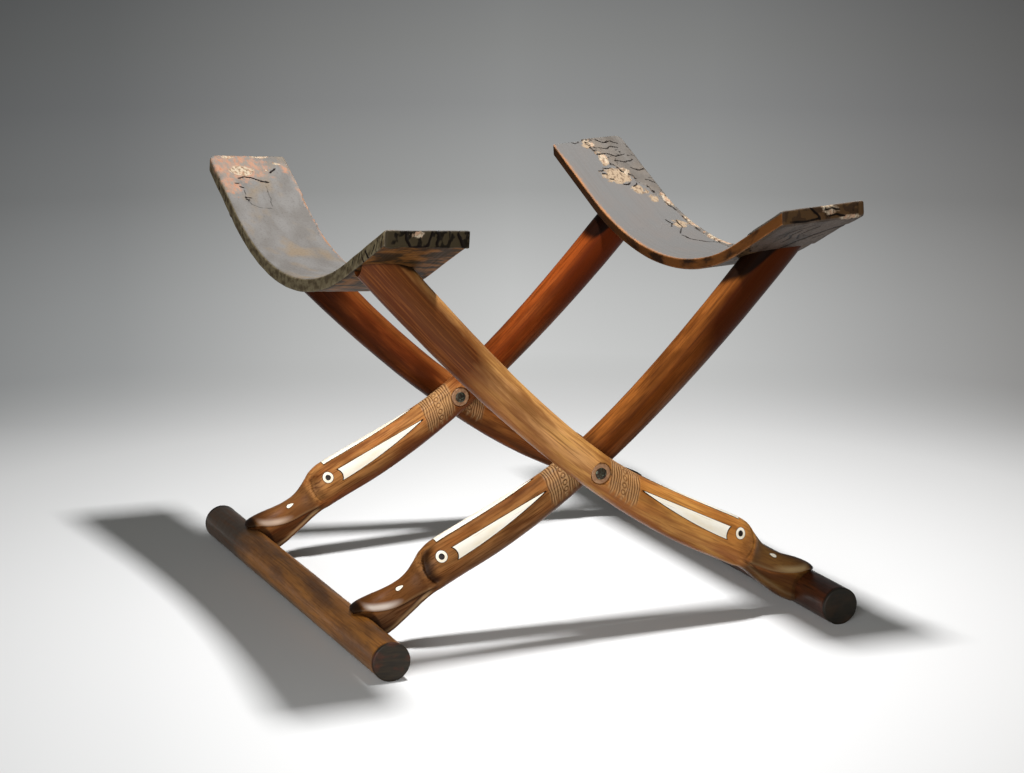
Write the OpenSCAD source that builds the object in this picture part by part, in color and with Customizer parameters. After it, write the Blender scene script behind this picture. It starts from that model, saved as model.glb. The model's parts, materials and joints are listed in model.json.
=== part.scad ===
// Folding stool: two nested X frames that turn on a pair of bronze rivets.
// Every leg is carved in one piece with a duck's head, whose bill grips a round foot rail.
// +Z is up, the foot and seat rails run along Y, and the origin lies on the floor under the middle.
// The outer frame has its seat rail at -X and its foot rail at +X. The inner frame is its mirror image.

/* [Foot rails] */
// Distance between the two foot rails, axis to axis
foot_span = 400; // [360:5:440]
// Diameter of a foot rail
rail_d = 32; // [28:0.5:36]
// Length of a foot rail, with its end discs
rail_len = 456; // [430:2:480]
// Depth of the worn flat that a foot rail stands on
flat_depth = 0.3; // [0.2:0.1:0.8]
// Thickness of an end disc
cap_t = 3; // [2:0.5:6]
// Bevel round the rims of an end disc
cap_bevel = 0.5; // [0.3:0.1:1]

/* [Seat rails] */
// Distance from the middle of the stool to the middle of a seat rail, at its raised ends
seat_x = 169; // [155:1:185]
// Height of the lowest point of a seat rail's top
seat_low = 285; // [270:1:300]
// Length of a seat rail
seat_len = 460; // [440:2:480]
// Width of a seat rail
seat_w = 70; // [60:1:80]
// Thickness of a seat rail
seat_t = 10; // [8:0.5:13]
// Radius of the hollow along the middle of a seat rail
seat_r = 350; // [320:5:400]
// Slope of a seat rail's straight ends, in degrees
seat_ramp = 24.5; // [18:0.5:28]
// Tilt of a seat rail down to the middle of the stool, in degrees
seat_tilt = 3.6; // [0:0.2:6]
// Thickness of the hide that is left on a seat rail
hide_t = 1.2; // [0.8:0.1:2]
// Gap between the hide that is folded under an end and the leg beside it
hide_gap = 1.2; // [0.8:0.2:4]
// How far the outer seat rail's hide hangs under its ends
hide_drop = 2; // [0:0.5:4]

/* [Legs] */
// Distance between the two places where the legs cross
cross_span = 310; // [290:2:330]
// Height of the rivets that the frames turn on
pivot_h = 138; // [130:1:146]
// Thickness of a leg, front to back
leg_t = 27.5; // [24:0.5:30]
// Width of a leg at the duck's neck
neck_w = 39.6; // [36:0.2:42]
// Width of a leg at the rivet
pivot_w = 31; // [28:0.5:34]
// Width of a leg under the seat rail
top_w = 37; // [32:0.5:40]
// Gap between two crossing legs
leg_gap = 0.5; // [0.3:0.1:1]
// How far a leg's top stands outward of the seat rail's middle
top_shift = 9; // [4:0.5:12]
// Slope of the duck's head above the floor, in degrees
head_a = 25.5; // [22:0.5:29]
// Turn of the leg from the head's slope to the rivet, in degrees
pivot_turn = 11.6; // [8:0.2:15]
// Turn of the leg from the head's slope to its top, in degrees
top_turn = 22.3; // [18:0.2:26]

/* [Duck head] */
// Distance from the foot rail's axis to where the neck starts
neck_u = 115; // [112:1:125]
// Height of the neck's middle over the line through the foot rail's axis
neck_v = 14.2; // [12:0.2:17]
// Rise of the bill over the foot rail
bill_rise = 5; // [4:0.2:7]
// Distance from the foot rail's axis to the eye
eye_u = 89.5; // [87:0.5:92]
// Height of the eye over the neck's middle
eye_v = 8.1; // [6:0.1:10]
// Outer diameter of the ring round an eye
eye_d = 9.4; // [8:0.2:12]
// Diameter of a pupil
pupil_d = 5; // [4:0.2:6]
// Distance from the foot rail's axis to the nostril
nostril_u = 48; // [44:0.5:52]
// Length of a nostril
nostril_l = 7; // [5:0.2:9]
// Width of a nostril
nostril_w = 2.4; // [1.8:0.2:3.2]

/* [Neck stripes] */
// Where the stripes start, behind the eye
stripe_u = 101; // [99:0.5:106]
// Length of a side stripe
side_len = 90; // [70:1:100]
// Width of a side stripe at its blunt end
side_w = 10.8; // [8:0.2:12]
// Length of the stripe along the back of the neck
back_len = 97; // [80:1:105]
// Width of the stripe along the back of the neck
back_w = 9; // [7:0.2:11]
// Depth of the bed of a stripe or an eye at its shallowest
bed = 1.5; // [1.2:0.1:2.2]

/* [Joinery] */
// Diameter of the rivets that join the frames
pin_d = 7.2; // [6:0.2:8]
// Running clearance round a rivet in the inner legs
pin_gap = 0.05; // [0.02:0.01:0.1]
// Diameter of a rivet's head
pin_head_d = 10; // [9:0.2:12]
// Height of a rivet's head
pin_head_h = 1.4; // [1:0.1:2]
// Diameter of a rivet's ring washer
washer_d = 17; // [14:0.5:19]
// Thickness of a ring washer
washer_t = 1.6; // [1.2:0.1:2]
// Diameter of the round tenon from a duck's mouth into the foot rail
peg_d = 10; // [8:0.5:12]
// Depth of that tenon in the foot rail
peg_depth = 12; // [9:0.5:14]
// Length of the flat tenon from a leg's top into the seat rail
tenon_l = 28; // [22:1:32]
// Thickness of that tenon
tenon_w = 12; // [8:0.5:14]
// Wood left over that tenon
tenon_cover = 3; // [2:0.2:4]

/* [Hidden] */
$fn = 64;
eps = 0.01;
wood = "#9a5f35";
red_wood = "#8a4a28";
ivory = "#efe6d2";
ebony = "#2b2320";
bronze = "#6b5334";
hide = "#6a6560";

rail_r = rail_d / 2;
rail_z = rail_r - flat_depth;
foot_x = foot_span / 2;
half_t = leg_t / 2;
outer_y = (cross_span + leg_t + leg_gap) / 2;
inner_y = (cross_span - leg_t - leg_gap) / 2;

// Seat rail: top and underside at a distance y from its middle, before the tilt
ramp_y = seat_r * sin(seat_ramp);
ramp_under_y = (seat_r + seat_t) * sin(seat_ramp);
ramp_rise = seat_r * (1 - cos(seat_ramp));
function seat_top(y) = abs(y) <= ramp_y
    ? seat_low + seat_r - sqrt(pow(seat_r, 2) - y * y)
    : seat_low + ramp_rise + (abs(y) - ramp_y) * tan(seat_ramp);
function seat_under(y) = abs(y) <= ramp_under_y
    ? seat_low + seat_r - sqrt(pow(seat_r + seat_t, 2) - y * y)
    : seat_low + ramp_rise + (abs(y) - ramp_y) * tan(seat_ramp) - seat_t / cos(seat_ramp);
seat_end = seat_top(seat_len / 2);

// Places along the seat rail: the hollow in equal steps, then the straight ends
arc_steps = 12;
seat_half_ys = concat([for (i = [0 : arc_steps]) ramp_y * i / arc_steps], [ramp_under_y, seat_len / 2]);
seat_ys = concat([for (i = [len(seat_half_ys) - 1 : -1 : 1]) -seat_half_ys[i]], seat_half_ys);

// The leg lies in its own frame: u runs from the foot rail's axis up the duck's head, v is square to u
function leg_uv(x, z) = let(dx = x - foot_x, dz = z - rail_z)
    [dz * sin(head_a) - dx * cos(head_a), dx * sin(head_a) + dz * cos(head_a)];
pivot_uv = leg_uv(0, pivot_h);
top_uv = leg_uv(-seat_x - top_shift, seat_under(cross_span / 2));

// A smooth curve from a to b with slopes sa and sb
function bend(u, a, b, sa, sb) = let(d = b[0] - a[0], t = (u - a[0]) / d)
    a[1] * (2 * pow(t, 3) - 3 * t * t + 1) + b[1] * (3 * t * t - 2 * pow(t, 3))
    + d * sa * (pow(t, 3) - 2 * t * t + t) + d * sb * (pow(t, 3) - t * t);
function ease(t) = let(c = max(0, min(1, t))) c * c * (3 - 2 * c);

function leg_mid(u) = u <= pivot_uv[0]
    ? bend(u, [neck_u, neck_v], pivot_uv, 0, tan(pivot_turn))
    : u <= top_uv[0]
        ? bend(u, pivot_uv, top_uv, tan(pivot_turn), tan(top_turn))
        : top_uv[1] + (u - top_uv[0]) * tan(top_turn);
function leg_turn(u) = u <= pivot_uv[0]
    ? pivot_turn * (u - neck_u) / (pivot_uv[0] - neck_u)
    : pivot_turn + (top_turn - pivot_turn) * min(1, (u - pivot_uv[0]) / (top_uv[0] - pivot_uv[0]));
function leg_width(u) = u <= pivot_uv[0]
    ? neck_w + (pivot_w - neck_w) * ease((u - neck_u) / (pivot_uv[0] - neck_u))
    : pivot_w + (top_w - pivot_w) * ease((u - pivot_uv[0]) / (top_uv[0] - pivot_uv[0]));
function leg_row(u) = let(m = leg_mid(u), h = leg_width(u) / 2 / cos(leg_turn(u)))
    [u, m + h, m, m - h, half_t, half_t];

// Duck's head, from the tip of the bill to the neck, one row for each place along u:
// u, ridge, lip, jaw, half-thickness above the lip, half-thickness below it
bill_v = rail_r + bill_rise;
crown_v = neck_v + neck_w / 2;
jaw_v = neck_v - neck_w / 2;
head_rows = [
    [5, bill_v - 2.4, bill_v - 3.8, 4 - rail_r, 0.25 * half_t, 0.15 * half_t],
    [6.5, bill_v - 1.2, bill_v - 3.6, 3 - rail_r, 0.5 * half_t, 0.3 * half_t],
    [9.5, bill_v - 0.3, bill_v - 4, 1 - rail_r, 0.7 * half_t, 0.45 * half_t],
    [14, bill_v, bill_v - 5.5, 0.4 - rail_r, 0.86 * half_t, 0.56 * half_t],
    [20, bill_v, bill_v - 9, 0.4 - rail_r, 0.96 * half_t, 0.62 * half_t],
    [28, bill_v - 0.6, 8.2, -14.8, 0.98 * half_t, 0.64 * half_t],
    [36, bill_v - 1.4, 5.4, -13.2, 0.91 * half_t, 0.63 * half_t],
    [45, bill_v - 2, 3.5, -11.2, 0.78 * half_t, 0.62 * half_t],
    [54, bill_v - 1.4, 3, -9, 0.71 * half_t, 0.63 * half_t],
    [61, bill_v + 0.8, 2.9, -7.2, 0.74 * half_t, 0.68 * half_t],
    [67, bill_v + 3.8, 2.8, -6, 0.83 * half_t, 0.77 * half_t],
    [73, crown_v - 5.9, 3, -5.6, 0.92 * half_t, 0.88 * half_t],
    [79, crown_v - 2.4, 5.4, jaw_v, 0.97 * half_t, 0.96 * half_t],
    [86, crown_v - 0.5, 9, jaw_v, half_t, half_t],
    [96, crown_v, 12.6, jaw_v, half_t, half_t],
    [neck_u, crown_v, neck_v, jaw_v, half_t, half_t]
];
legrow_step = 18;
top_over = 34;
leg_rows = [for (u = [neck_u + legrow_step : legrow_step : top_uv[0] + top_over]) leg_row(u)];
rows = concat(head_rows, leg_rows);

// One cross-section: a half round over the lip and a half round under it
upper_steps = 6;
lower_steps = 5;
lower_start = 12;
function half_section(r) = concat(
    [for (i = [0 : upper_steps]) let(a = 90 * i / upper_steps)
        [r[0], r[4] * sin(a), r[2] + (r[1] - r[2]) * cos(a)]],
    [for (i = [0 : lower_steps]) let(a = lower_start + (90 - lower_start) * i / lower_steps)
        [r[0], r[5] * cos(a), r[2] - (r[2] - r[3]) * sin(a)]]
);
function section(r) = let(h = half_section(r), n = len(h))
    concat(h, [for (i = [n - 2 : -1 : 1]) [h[i][0], -h[i][1], h[i][2]]]);
ring_n = 2 * (upper_steps + lower_steps + 1);

// Stack of cross-sections between two places along the leg
module leg_body(from = 0, to = 1000) {
    picked = [for (r = rows) if (r[0] >= from && r[0] <= to) r];
    n = len(picked);
    polyhedron(
        points = [for (r = picked) each section(r)],
        faces = concat(
            [[for (k = [ring_n - 1 : -1 : 0]) k]],
            [for (i = [0 : n - 2], k = [0 : ring_n - 1])
                let(a = i * ring_n + k, b = i * ring_n + (k + 1) % ring_n)
                each [[b, b + ring_n, a], [a, b + ring_n, a + ring_n]]],
            [[for (k = [0 : ring_n - 1]) (n - 1) * ring_n + k]]
        )
    );
}

module on_leg(y) {
    translate([foot_x, y, rail_z]) rotate([0, -head_a, 180]) children();
}

module each_side() {
    children();
    mirror([0, 1, 0]) children();
}

// Ivory and ebony inlays, as prisms that reach out past the leg
inlay_reach = 30;
function side_floor(v) = half_t * sqrt(1 - pow((v - neck_v) / (neck_w / 2), 2)) - bed;
side_top = eye_v + 2.2;
side_steps = 8;
side_notch = 8.5;

module side_stripe() {
    floor_y = side_floor(neck_v + side_top);
    outline = concat(
        [[stripe_u - side_notch, side_top], [stripe_u + side_len, side_top]],
        [for (i = [side_steps - 1 : -1 : 0]) let(t = i / side_steps)
            [stripe_u + side_len * t, side_top - side_w * (1 - pow(t, 3))]],
        [[stripe_u - side_notch, side_top - side_w]]
    );
    translate([0, floor_y, neck_v]) rotate([90, 0, 0]) mirror([0, 0, 1])
        linear_extrude(inlay_reach) difference() {
            polygon(outline);
            translate([stripe_u - side_notch * 0.77, side_top - side_w / 2]) circle(side_notch);
        }
}

module back_stripe() {
    start_u = stripe_u - side_notch;
    outline = concat(
        [for (i = [0 : side_steps]) let(t = i / side_steps)
            [start_u + back_len * t, back_w / 2 * (1 - pow(t, 3))]],
        [for (i = [side_steps - 1 : -1 : 0]) let(t = i / side_steps)
            [start_u + back_len * t, -back_w / 2 * (1 - pow(t, 3))]]
    );
    drop = (neck_w / 2) * (1 - sqrt(1 - pow(back_w / 2 / half_t, 2)));
    translate([0, 0, crown_v - drop - bed]) linear_extrude(inlay_reach) polygon(outline);
}

module eye_prism(d) {
    translate([eye_u, side_floor(neck_v + eye_v + eye_d / 2), neck_v + eye_v])
        rotate([-90, 0, 0]) cylinder(d = d, h = inlay_reach);
}

nostril_v = bill_v - 5.6;
nostril_y = 0.34 * half_t;
nostril_steps = 16;
module nostril_prism() {
    outline = [for (i = [0 : nostril_steps - 1]) let(a = 360 * i / nostril_steps)
        [nostril_l / 2 * cos(a), nostril_w / 2 * sin(a) * (1 - 0.4 * cos(a))]];
    translate([nostril_u, nostril_y, nostril_v]) rotate([-90, 0, 0]) linear_extrude(inlay_reach)
        polygon(outline);
}

// Parts of the leg that the inlays are cut from, so that they end flush with its surface
module stripes_on_leg(y) {
    color(ivory) on_leg(y) intersection() {
        leg_body(86, stripe_u + side_len + 2 * legrow_step);
        union() {
            each_side() side_stripe();
            back_stripe();
        }
    }
}
module eye_rings_on_leg(y) {
    color(ivory) on_leg(y) intersection() {
        leg_body(73, neck_u);
        each_side() difference() {
            eye_prism(eye_d);
            translate([0, -eps, 0]) eye_prism(pupil_d);
        }
    }
}
module pupils_on_leg(y) {
    color(ebony) on_leg(y) intersection() {
        leg_body(73, neck_u);
        each_side() eye_prism(pupil_d);
    }
}
module nostrils_on_leg(y) {
    color(ivory) on_leg(y) intersection() {
        leg_body(36, 61);
        each_side() nostril_prism();
    }
}

// Places across a pair of crossing legs, outward from the middle of the stool
outside_y = outer_y + half_t;
inside_y = inner_y - half_t;
washer_bed = half_t * (1 - sqrt(1 - pow(washer_d / pivot_w, 2))) + bed;
washer_gap = 0.1;

module along_y(from, to) {
    translate([0, from, 0]) rotate([-90, 0, 0]) linear_extrude(to - from) children();
}
module at_pivot() {
    translate([0, 0, pivot_h]) children();
}

// Flat tenon in the seat rail's own tilted frame
module tilted() {
    translate([-seat_x, 0, seat_end]) rotate([0, seat_tilt, 0]) translate([seat_x, 0, -seat_end])
        children();
}
module flat_tenon(y, sink) {
    near_y = abs(y) - tenon_w / 2;
    top_z = seat_top(near_y) - tenon_cover;
    low_z = seat_under(near_y) - sink;
    translate([-seat_x - top_shift / 2 - tenon_l / 2, y - tenon_w / 2, low_z])
        cube([tenon_l, tenon_w, top_z - low_z]);
}
// Everything above a seat rail's underside
module over_seat() {
    above = 120;
    half_l = seat_len / 2 + 5;
    ys = concat([-half_l], [for (y = seat_ys) if (abs(y) < seat_len / 2) y], [half_l]);
    outline = concat([for (y = ys) [y, seat_under(y)]], [[half_l, seat_end + above], [-half_l, seat_end + above]]);
    tilted() translate([-seat_x - seat_w, 0, 0]) rotate([90, 0, 90]) linear_extrude(2 * seat_w) polygon(outline);
}

module round_peg() {
    translate([rail_r - peg_depth, 0, 0]) rotate([0, 90, 0]) cylinder(d = peg_d, h = peg_depth + 8);
}

// A leg at a distance y from the middle, with the bore and the washer's bed for its rivet
module leg(y, bore_d, bed_side) {
    bed_y = y + bed_side * (half_t - washer_bed);
    difference() {
        union() {
            difference() {
                on_leg(y) leg_body();
                over_seat();
                translate([foot_x, 0, rail_z]) along_y(y - leg_t, y + leg_t) circle(rail_r);
            }
            on_leg(y) round_peg();
            tilted() flat_tenon(y, 6);
        }
        at_pivot() along_y(y - leg_t, y + leg_t) circle(d = bore_d);
        at_pivot() along_y(min(bed_y, bed_y + bed_side * leg_t), max(bed_y, bed_y + bed_side * leg_t))
            circle(d = washer_d + 2 * washer_gap);
        on_leg(y) each_side() {
            side_stripe();
            eye_prism(eye_d);
            nostril_prism();
        }
        on_leg(y) back_stripe();
    }
}

module across_seat(from, to) {
    translate([-seat_x + from, 0, 0]) rotate([90, 0, 90]) linear_extrude(to - from) children();
}

module foot_rail(y) {
    difference() {
        translate([foot_x, 0, rail_z]) along_y(cap_t - rail_len / 2, rail_len / 2 - cap_t) circle(rail_r);
        translate([0, -rail_len, -rail_d]) cube([foot_span, 2 * rail_len, rail_d]);
        on_leg(y) round_peg();
        on_leg(-y) round_peg();
    }
}

module foot_disc(side) {
    outline = [[0, 0], [rail_r - cap_bevel, 0], [rail_r, cap_bevel], [rail_r, cap_t - cap_bevel],
        [rail_r - cap_bevel, cap_t], [0, cap_t]];
    difference() {
        translate([foot_x, side * (rail_len / 2 - cap_t), rail_z]) rotate([-side * 90, 0, 0])
            rotate_extrude() polygon(outline);
        translate([0, -rail_len, -rail_d]) cube([foot_span, 2 * rail_len, rail_d]);
    }
}

module seat_rail(y) {
    outline = concat([for (y = seat_ys) [y, seat_under(y)]],
        [for (i = [len(seat_ys) - 1 : -1 : 0]) [seat_ys[i], seat_top(seat_ys[i])]]);
    tilted() difference() {
        across_seat(-seat_w / 2, seat_w / 2) polygon(outline);
        flat_tenon(y, 6);
        flat_tenon(-y, 6);
    }
}

// Hide at the +Y end of a seat rail: down the end face, and under it as far in as fold_y
function hide_end(fold_y) = let(end_y = seat_len / 2, low = seat_under(end_y))
    fold_y < end_y
        ? [[end_y + hide_t, low - hide_t], [fold_y, seat_under(fold_y) - hide_t], [fold_y, seat_under(fold_y)],
            [end_y, low]]
        : [[end_y + hide_t, low - hide_drop], [end_y, low - hide_drop]];
function hide_over() = let(grow = 1 + 2 * hide_t / seat_len) [for (y = seat_ys) [y * grow, seat_top(y) + hide_t]];
// Hide over the top of a seat rail and round its ends
module hide_band(fold_y) {
    n = len(seat_ys);
    end = hide_end(fold_y);
    outline = concat(hide_over(), end, [for (i = [n - 1 : -1 : 0]) [seat_ys[i], seat_top(seat_ys[i])]],
        [for (i = [len(end) - 1 : -1 : 0]) [-end[i][0], end[i][1]]]);
    across_seat(-seat_w / 2, seat_w / 2) polygon(outline);
}
// Hide down the outer side of a seat rail
module hide_side() {
    n = len(seat_ys);
    grow = 1 + 2 * hide_t / seat_len;
    outline = concat(hide_over(), [for (i = [n - 1 : -1 : 0]) [seat_ys[i] * grow, seat_under(seat_ys[i])]]);
    across_seat(-seat_w / 2 - hide_t, -seat_w / 2) polygon(outline);
}
// Torn edge of the hide: how much of the seat rail's inner margin is bare at each place along it
module seat_hide(margins, fold_y, has_side) {
    n = len(margins);
    outer_x = -seat_x - seat_w;
    inner_x = -seat_x + seat_w / 2;
    reach = seat_len / 2 + 2 * hide_t;
    torn = [for (i = [0 : n - 1]) [inner_x - margins[i] * seat_w, -reach + 2 * reach * i / (n - 1)]];
    tilted() intersection() {
        union() {
            hide_band(fold_y);
            if (has_side) hide_side();
        }
        linear_extrude(2 * seat_end) polygon(concat([[outer_x, reach], [outer_x, -reach]], torn));
    }
}
outer_margins = [-0.1, -0.1, 0.02, 0.05, 0.03, 0.06, 0.04, 0.08, 0.05, 0.03, 0.06, 0.02, 0.04, -0.1, -0.1];
inner_margins = [-0.1, -0.1, 0.05, 0.24, 0.4, 0.62, 0.82, 0.9, 0.94, 0.93, 0.95, 0.9, 0.75, 0.5, 0.43];

module rivet(side) {
    from = inside_y + washer_bed - washer_t;
    to = outside_y - washer_bed + washer_t;
    head_r = pin_head_d / 2;
    outline = [[0, from - pin_head_h], [head_r * 0.55, from - pin_head_h], [head_r, from - pin_head_h * 0.4],
        [head_r, from], [pin_d / 2, from], [pin_d / 2, to], [head_r, to], [head_r, to + pin_head_h * 0.4],
        [head_r * 0.55, to + pin_head_h], [0, to + pin_head_h]];
    at_pivot() rotate([-side * 90, 0, 0]) rotate_extrude() polygon(outline);
}
module washer(side, y, out) {
    seat_y = y - out * washer_bed;
    low = min(seat_y, seat_y + out * washer_t);
    at_pivot() rotate([-side * 90, 0, 0]) translate([0, 0, low]) difference() {
        cylinder(d = washer_d, h = washer_t);
        translate([0, 0, -1]) cylinder(d = pin_d + 2 * pin_gap, h = washer_t + 2);
    }
}

module outer_seat_rail() { color(red_wood) seat_rail(outer_y); }
module outer_seat_hide() { color(hide) seat_hide(outer_margins, seat_len / 2, true); }
module outer_leg_front() { color(wood) leg(-outer_y, pin_d, -1); }
module outer_leg_back() { color(wood) leg(outer_y, pin_d, 1); }
module outer_foot_rail() { color(wood) foot_rail(outer_y); }
module outer_foot_disc_front() { color(ebony) foot_disc(-1); }
module outer_foot_disc_back() { color(ebony) foot_disc(1); }

module inner_frame() { mirror([1, 0, 0]) children(); }
module inner_seat_rail() { color(red_wood) inner_frame() seat_rail(inner_y); }
module inner_seat_hide() { color(hide) inner_frame() seat_hide(inner_margins, inner_y + half_t + hide_gap, false); }
module inner_leg_front() { color(wood) inner_frame() leg(-inner_y, pin_d + 2 * pin_gap, 1); }
module inner_leg_back() { color(wood) inner_frame() leg(inner_y, pin_d + 2 * pin_gap, -1); }
module inner_foot_rail() { color(wood) inner_frame() foot_rail(inner_y); }
module inner_foot_disc_front() { inner_frame() color(ebony) foot_disc(-1); }
module inner_foot_disc_back() { inner_frame() color(ebony) foot_disc(1); }

outer_seat_rail();
outer_seat_hide();
outer_leg_front();
outer_leg_back();
outer_foot_rail();
outer_foot_disc_front();
outer_foot_disc_back();
stripes_on_leg(-outer_y);  // outer_stripes_front
eye_rings_on_leg(-outer_y);  // outer_eye_rings_front
pupils_on_leg(-outer_y);  // outer_pupils_front
nostrils_on_leg(-outer_y);  // outer_nostrils_front
stripes_on_leg(outer_y);  // outer_stripes_back
eye_rings_on_leg(outer_y);  // outer_eye_rings_back
pupils_on_leg(outer_y);  // outer_pupils_back
nostrils_on_leg(outer_y);  // outer_nostrils_back
color(bronze) rivet(-1);  // rivet_front
color(bronze) rivet(1);  // rivet_back
color(bronze) washer(-1, outside_y, 1);  // washer_front_outside
color(bronze) washer(-1, inside_y, -1);  // washer_front_inside
color(bronze) washer(1, outside_y, 1);  // washer_back_outside
color(bronze) washer(1, inside_y, -1);  // washer_back_inside
inner_seat_rail();
inner_seat_hide();
inner_leg_front();
inner_leg_back();
inner_foot_rail();
inner_foot_disc_front();
inner_foot_disc_back();
inner_frame() stripes_on_leg(-inner_y);  // inner_stripes_front
inner_frame() eye_rings_on_leg(-inner_y);  // inner_eye_rings_front
inner_frame() pupils_on_leg(-inner_y);  // inner_pupils_front
inner_frame() nostrils_on_leg(-inner_y);  // inner_nostrils_front
inner_frame() stripes_on_leg(inner_y);  // inner_stripes_back
inner_frame() eye_rings_on_leg(inner_y);  // inner_eye_rings_back
inner_frame() pupils_on_leg(inner_y);  // inner_pupils_back
inner_frame() nostrils_on_leg(inner_y);  // inner_nostrils_back
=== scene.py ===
# Folding stool with carved ducks' heads: its looks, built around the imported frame.
# Shapes are worked out in millimetres, in the frame's own axes, and become metres in mesh_object().
import json
import math
import bpy
import numpy as np
from mathutils import Matrix, Vector

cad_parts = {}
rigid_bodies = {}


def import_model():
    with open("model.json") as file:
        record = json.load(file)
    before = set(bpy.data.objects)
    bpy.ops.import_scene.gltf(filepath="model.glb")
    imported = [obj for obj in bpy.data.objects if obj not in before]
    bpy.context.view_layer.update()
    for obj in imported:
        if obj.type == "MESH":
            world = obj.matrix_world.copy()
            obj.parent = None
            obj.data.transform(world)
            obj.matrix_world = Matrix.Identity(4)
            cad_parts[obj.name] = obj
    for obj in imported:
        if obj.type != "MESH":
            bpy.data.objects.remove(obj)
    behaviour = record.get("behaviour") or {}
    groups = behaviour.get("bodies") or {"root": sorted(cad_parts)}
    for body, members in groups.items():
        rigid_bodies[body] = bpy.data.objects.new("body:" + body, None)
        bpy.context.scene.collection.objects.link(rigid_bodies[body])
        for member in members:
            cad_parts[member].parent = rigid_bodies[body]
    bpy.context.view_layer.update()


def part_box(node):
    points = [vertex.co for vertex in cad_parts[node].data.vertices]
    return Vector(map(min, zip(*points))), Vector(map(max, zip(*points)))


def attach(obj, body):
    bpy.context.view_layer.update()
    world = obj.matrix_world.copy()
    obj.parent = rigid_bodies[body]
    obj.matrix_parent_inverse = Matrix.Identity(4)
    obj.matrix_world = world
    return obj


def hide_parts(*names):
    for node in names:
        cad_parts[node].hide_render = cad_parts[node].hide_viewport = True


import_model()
MM = 0.001

# Camera, at the photograph's viewing angle
PICTURE_W = 1024
FOCAL_PX = 2768.4
CAMERA_PLACE = (-915.0, -2171.2, 688.8)
CAMERA_YAW = 22.78
CAMERA_PITCH = 12.32
CAMERA_ROLL = 0.18


def new_object(name, data):
    """Object with the given data, put into the scene."""
    obj = bpy.data.objects.new(name, data)
    bpy.context.scene.collection.objects.link(obj)
    return obj


def make_camera():
    data = bpy.data.cameras.new("camera")
    data.sensor_width = 36.0
    data.sensor_fit = "HORIZONTAL"
    data.lens = FOCAL_PX / PICTURE_W * data.sensor_width
    data.clip_end = 100.0
    camera = new_object("camera", data)
    turn = Matrix.Rotation(-math.radians(CAMERA_YAW), 4, "Z")
    tip = Matrix.Rotation(math.radians(90 - CAMERA_PITCH), 4, "X")
    roll = Matrix.Rotation(math.radians(CAMERA_ROLL), 4, "Z")
    place = Matrix.Translation([c * MM for c in CAMERA_PLACE])
    camera.matrix_world = place @ turn @ tip @ roll
    bpy.context.scene.camera = camera


make_camera()


# Sizes read from the frame, in millimetres
def box_mm(node):
    low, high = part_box(node)
    return np.array(low) / MM, np.array(high) / MM


rail_low, rail_high = box_mm("outer_foot_rail")
rail_r = (rail_high[0] - rail_low[0]) / 2
foot_x = (rail_high[0] + rail_low[0]) / 2
rail_z = rail_high[2] - rail_r
rail_end = rail_high[1]
disc_end = box_mm("outer_foot_disc_back")[1][1]
leg_low, leg_high = box_mm("outer_leg_back")
half_t = (leg_high[1] - leg_low[1]) / 2
outer_y = (leg_high[1] + leg_low[1]) / 2
inner_low, inner_high = box_mm("inner_leg_back")
inner_y = (inner_high[1] + inner_low[1]) / 2
pin_low, pin_high = box_mm("rivet_back")
pivot_h = (pin_high[2] + pin_low[2]) / 2
seat_len = box_mm("outer_seat_rail")[1][1] * 2

# Driving sizes that the frame's boxes don't tell, in millimetres, and angles
seat_x = 169.0
seat_low = 285.0
seat_w = 70.0
seat_t = 10.0
seat_r = 350.0
seat_ramp = math.radians(24.5)
seat_tilt = math.radians(3.6)
hide_t = 1.2
hide_drop = 2.0
head_a = math.radians(25.5)
pivot_turn = math.radians(11.6)
top_turn = math.radians(22.3)
neck_u = 115.0
neck_v = 14.2
neck_w = 39.6
pivot_w = 31.0
top_w = 37.0
top_shift = 9.0
bill_rise = 5.0
eye_u = 89.5
eye_rise = 8.1
eye_d = 9.4
pupil_d = 5.0
nostril_u = 48.0
nostril_l = 7.0
nostril_w = 2.4
stripe_u = 101.0
side_len = 90.0
side_w = 10.8
side_notch = 8.5
back_len = 97.0
back_w = 9.0
washer_d = 17.0
washer_t = 1.6
washer_sink = 3.75
washer_hole_r = 3.6
washer_round = 0.9
shank_r = 3.4
pin_head_d = 10.0
pin_head_h = 1.4

# The two frames, the inner one mirrored in x, and their two ends along y
FRAMES = (("outer", 1), ("inner", -1))
ENDS = (("front", -1), ("back", 1))

# Meshes
SHARP_EDGE = math.radians(50)


def part(points, faces, **fields):
    """Closed set of four-sided faces, turned so that their normals point outward."""
    points = np.asarray(points, float).reshape(-1, 3)
    a, b, c, d = (points[faces[:, i]] for i in range(4))
    volume = np.einsum("ij,ij->", a, np.cross(b, c) + np.cross(c, d))
    return {"points": points, "faces": faces if volume > 0 else faces[:, ::-1], "fields": fields}


def joined(parts):
    """Several parts as one."""
    starts = np.cumsum([0] + [len(p["points"]) for p in parts])
    faces = np.concatenate([p["faces"] + start for p, start in zip(parts, starts)])
    fields = {key: np.concatenate([p["fields"][key] for p in parts]) for key in parts[0]["fields"]}
    return {"points": np.concatenate([p["points"] for p in parts]), "faces": faces, "fields": fields}


def mesh_object(name, built, material, body, slot, *nodes):
    """Blender object from a part in millimetres, riding on a body in place of CAD nodes."""
    mesh = bpy.data.meshes.new(name)
    mesh.from_pydata((built["points"] * MM).tolist(), [], built["faces"].tolist())
    for key, values in built["fields"].items():
        vector = values.ndim == 2
        layer = mesh.attributes.new(key, "FLOAT_VECTOR" if vector else "FLOAT", "POINT")
        layer.data.foreach_set("vector" if vector else "value", values.astype(np.float32).ravel())
    mesh.materials.append(material)
    mesh.shade_smooth()
    mesh.set_sharp_from_angle(angle=SHARP_EDGE)
    obj = new_object(name, mesh)
    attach(obj, body)
    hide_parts(*nodes)
    return obj


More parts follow.
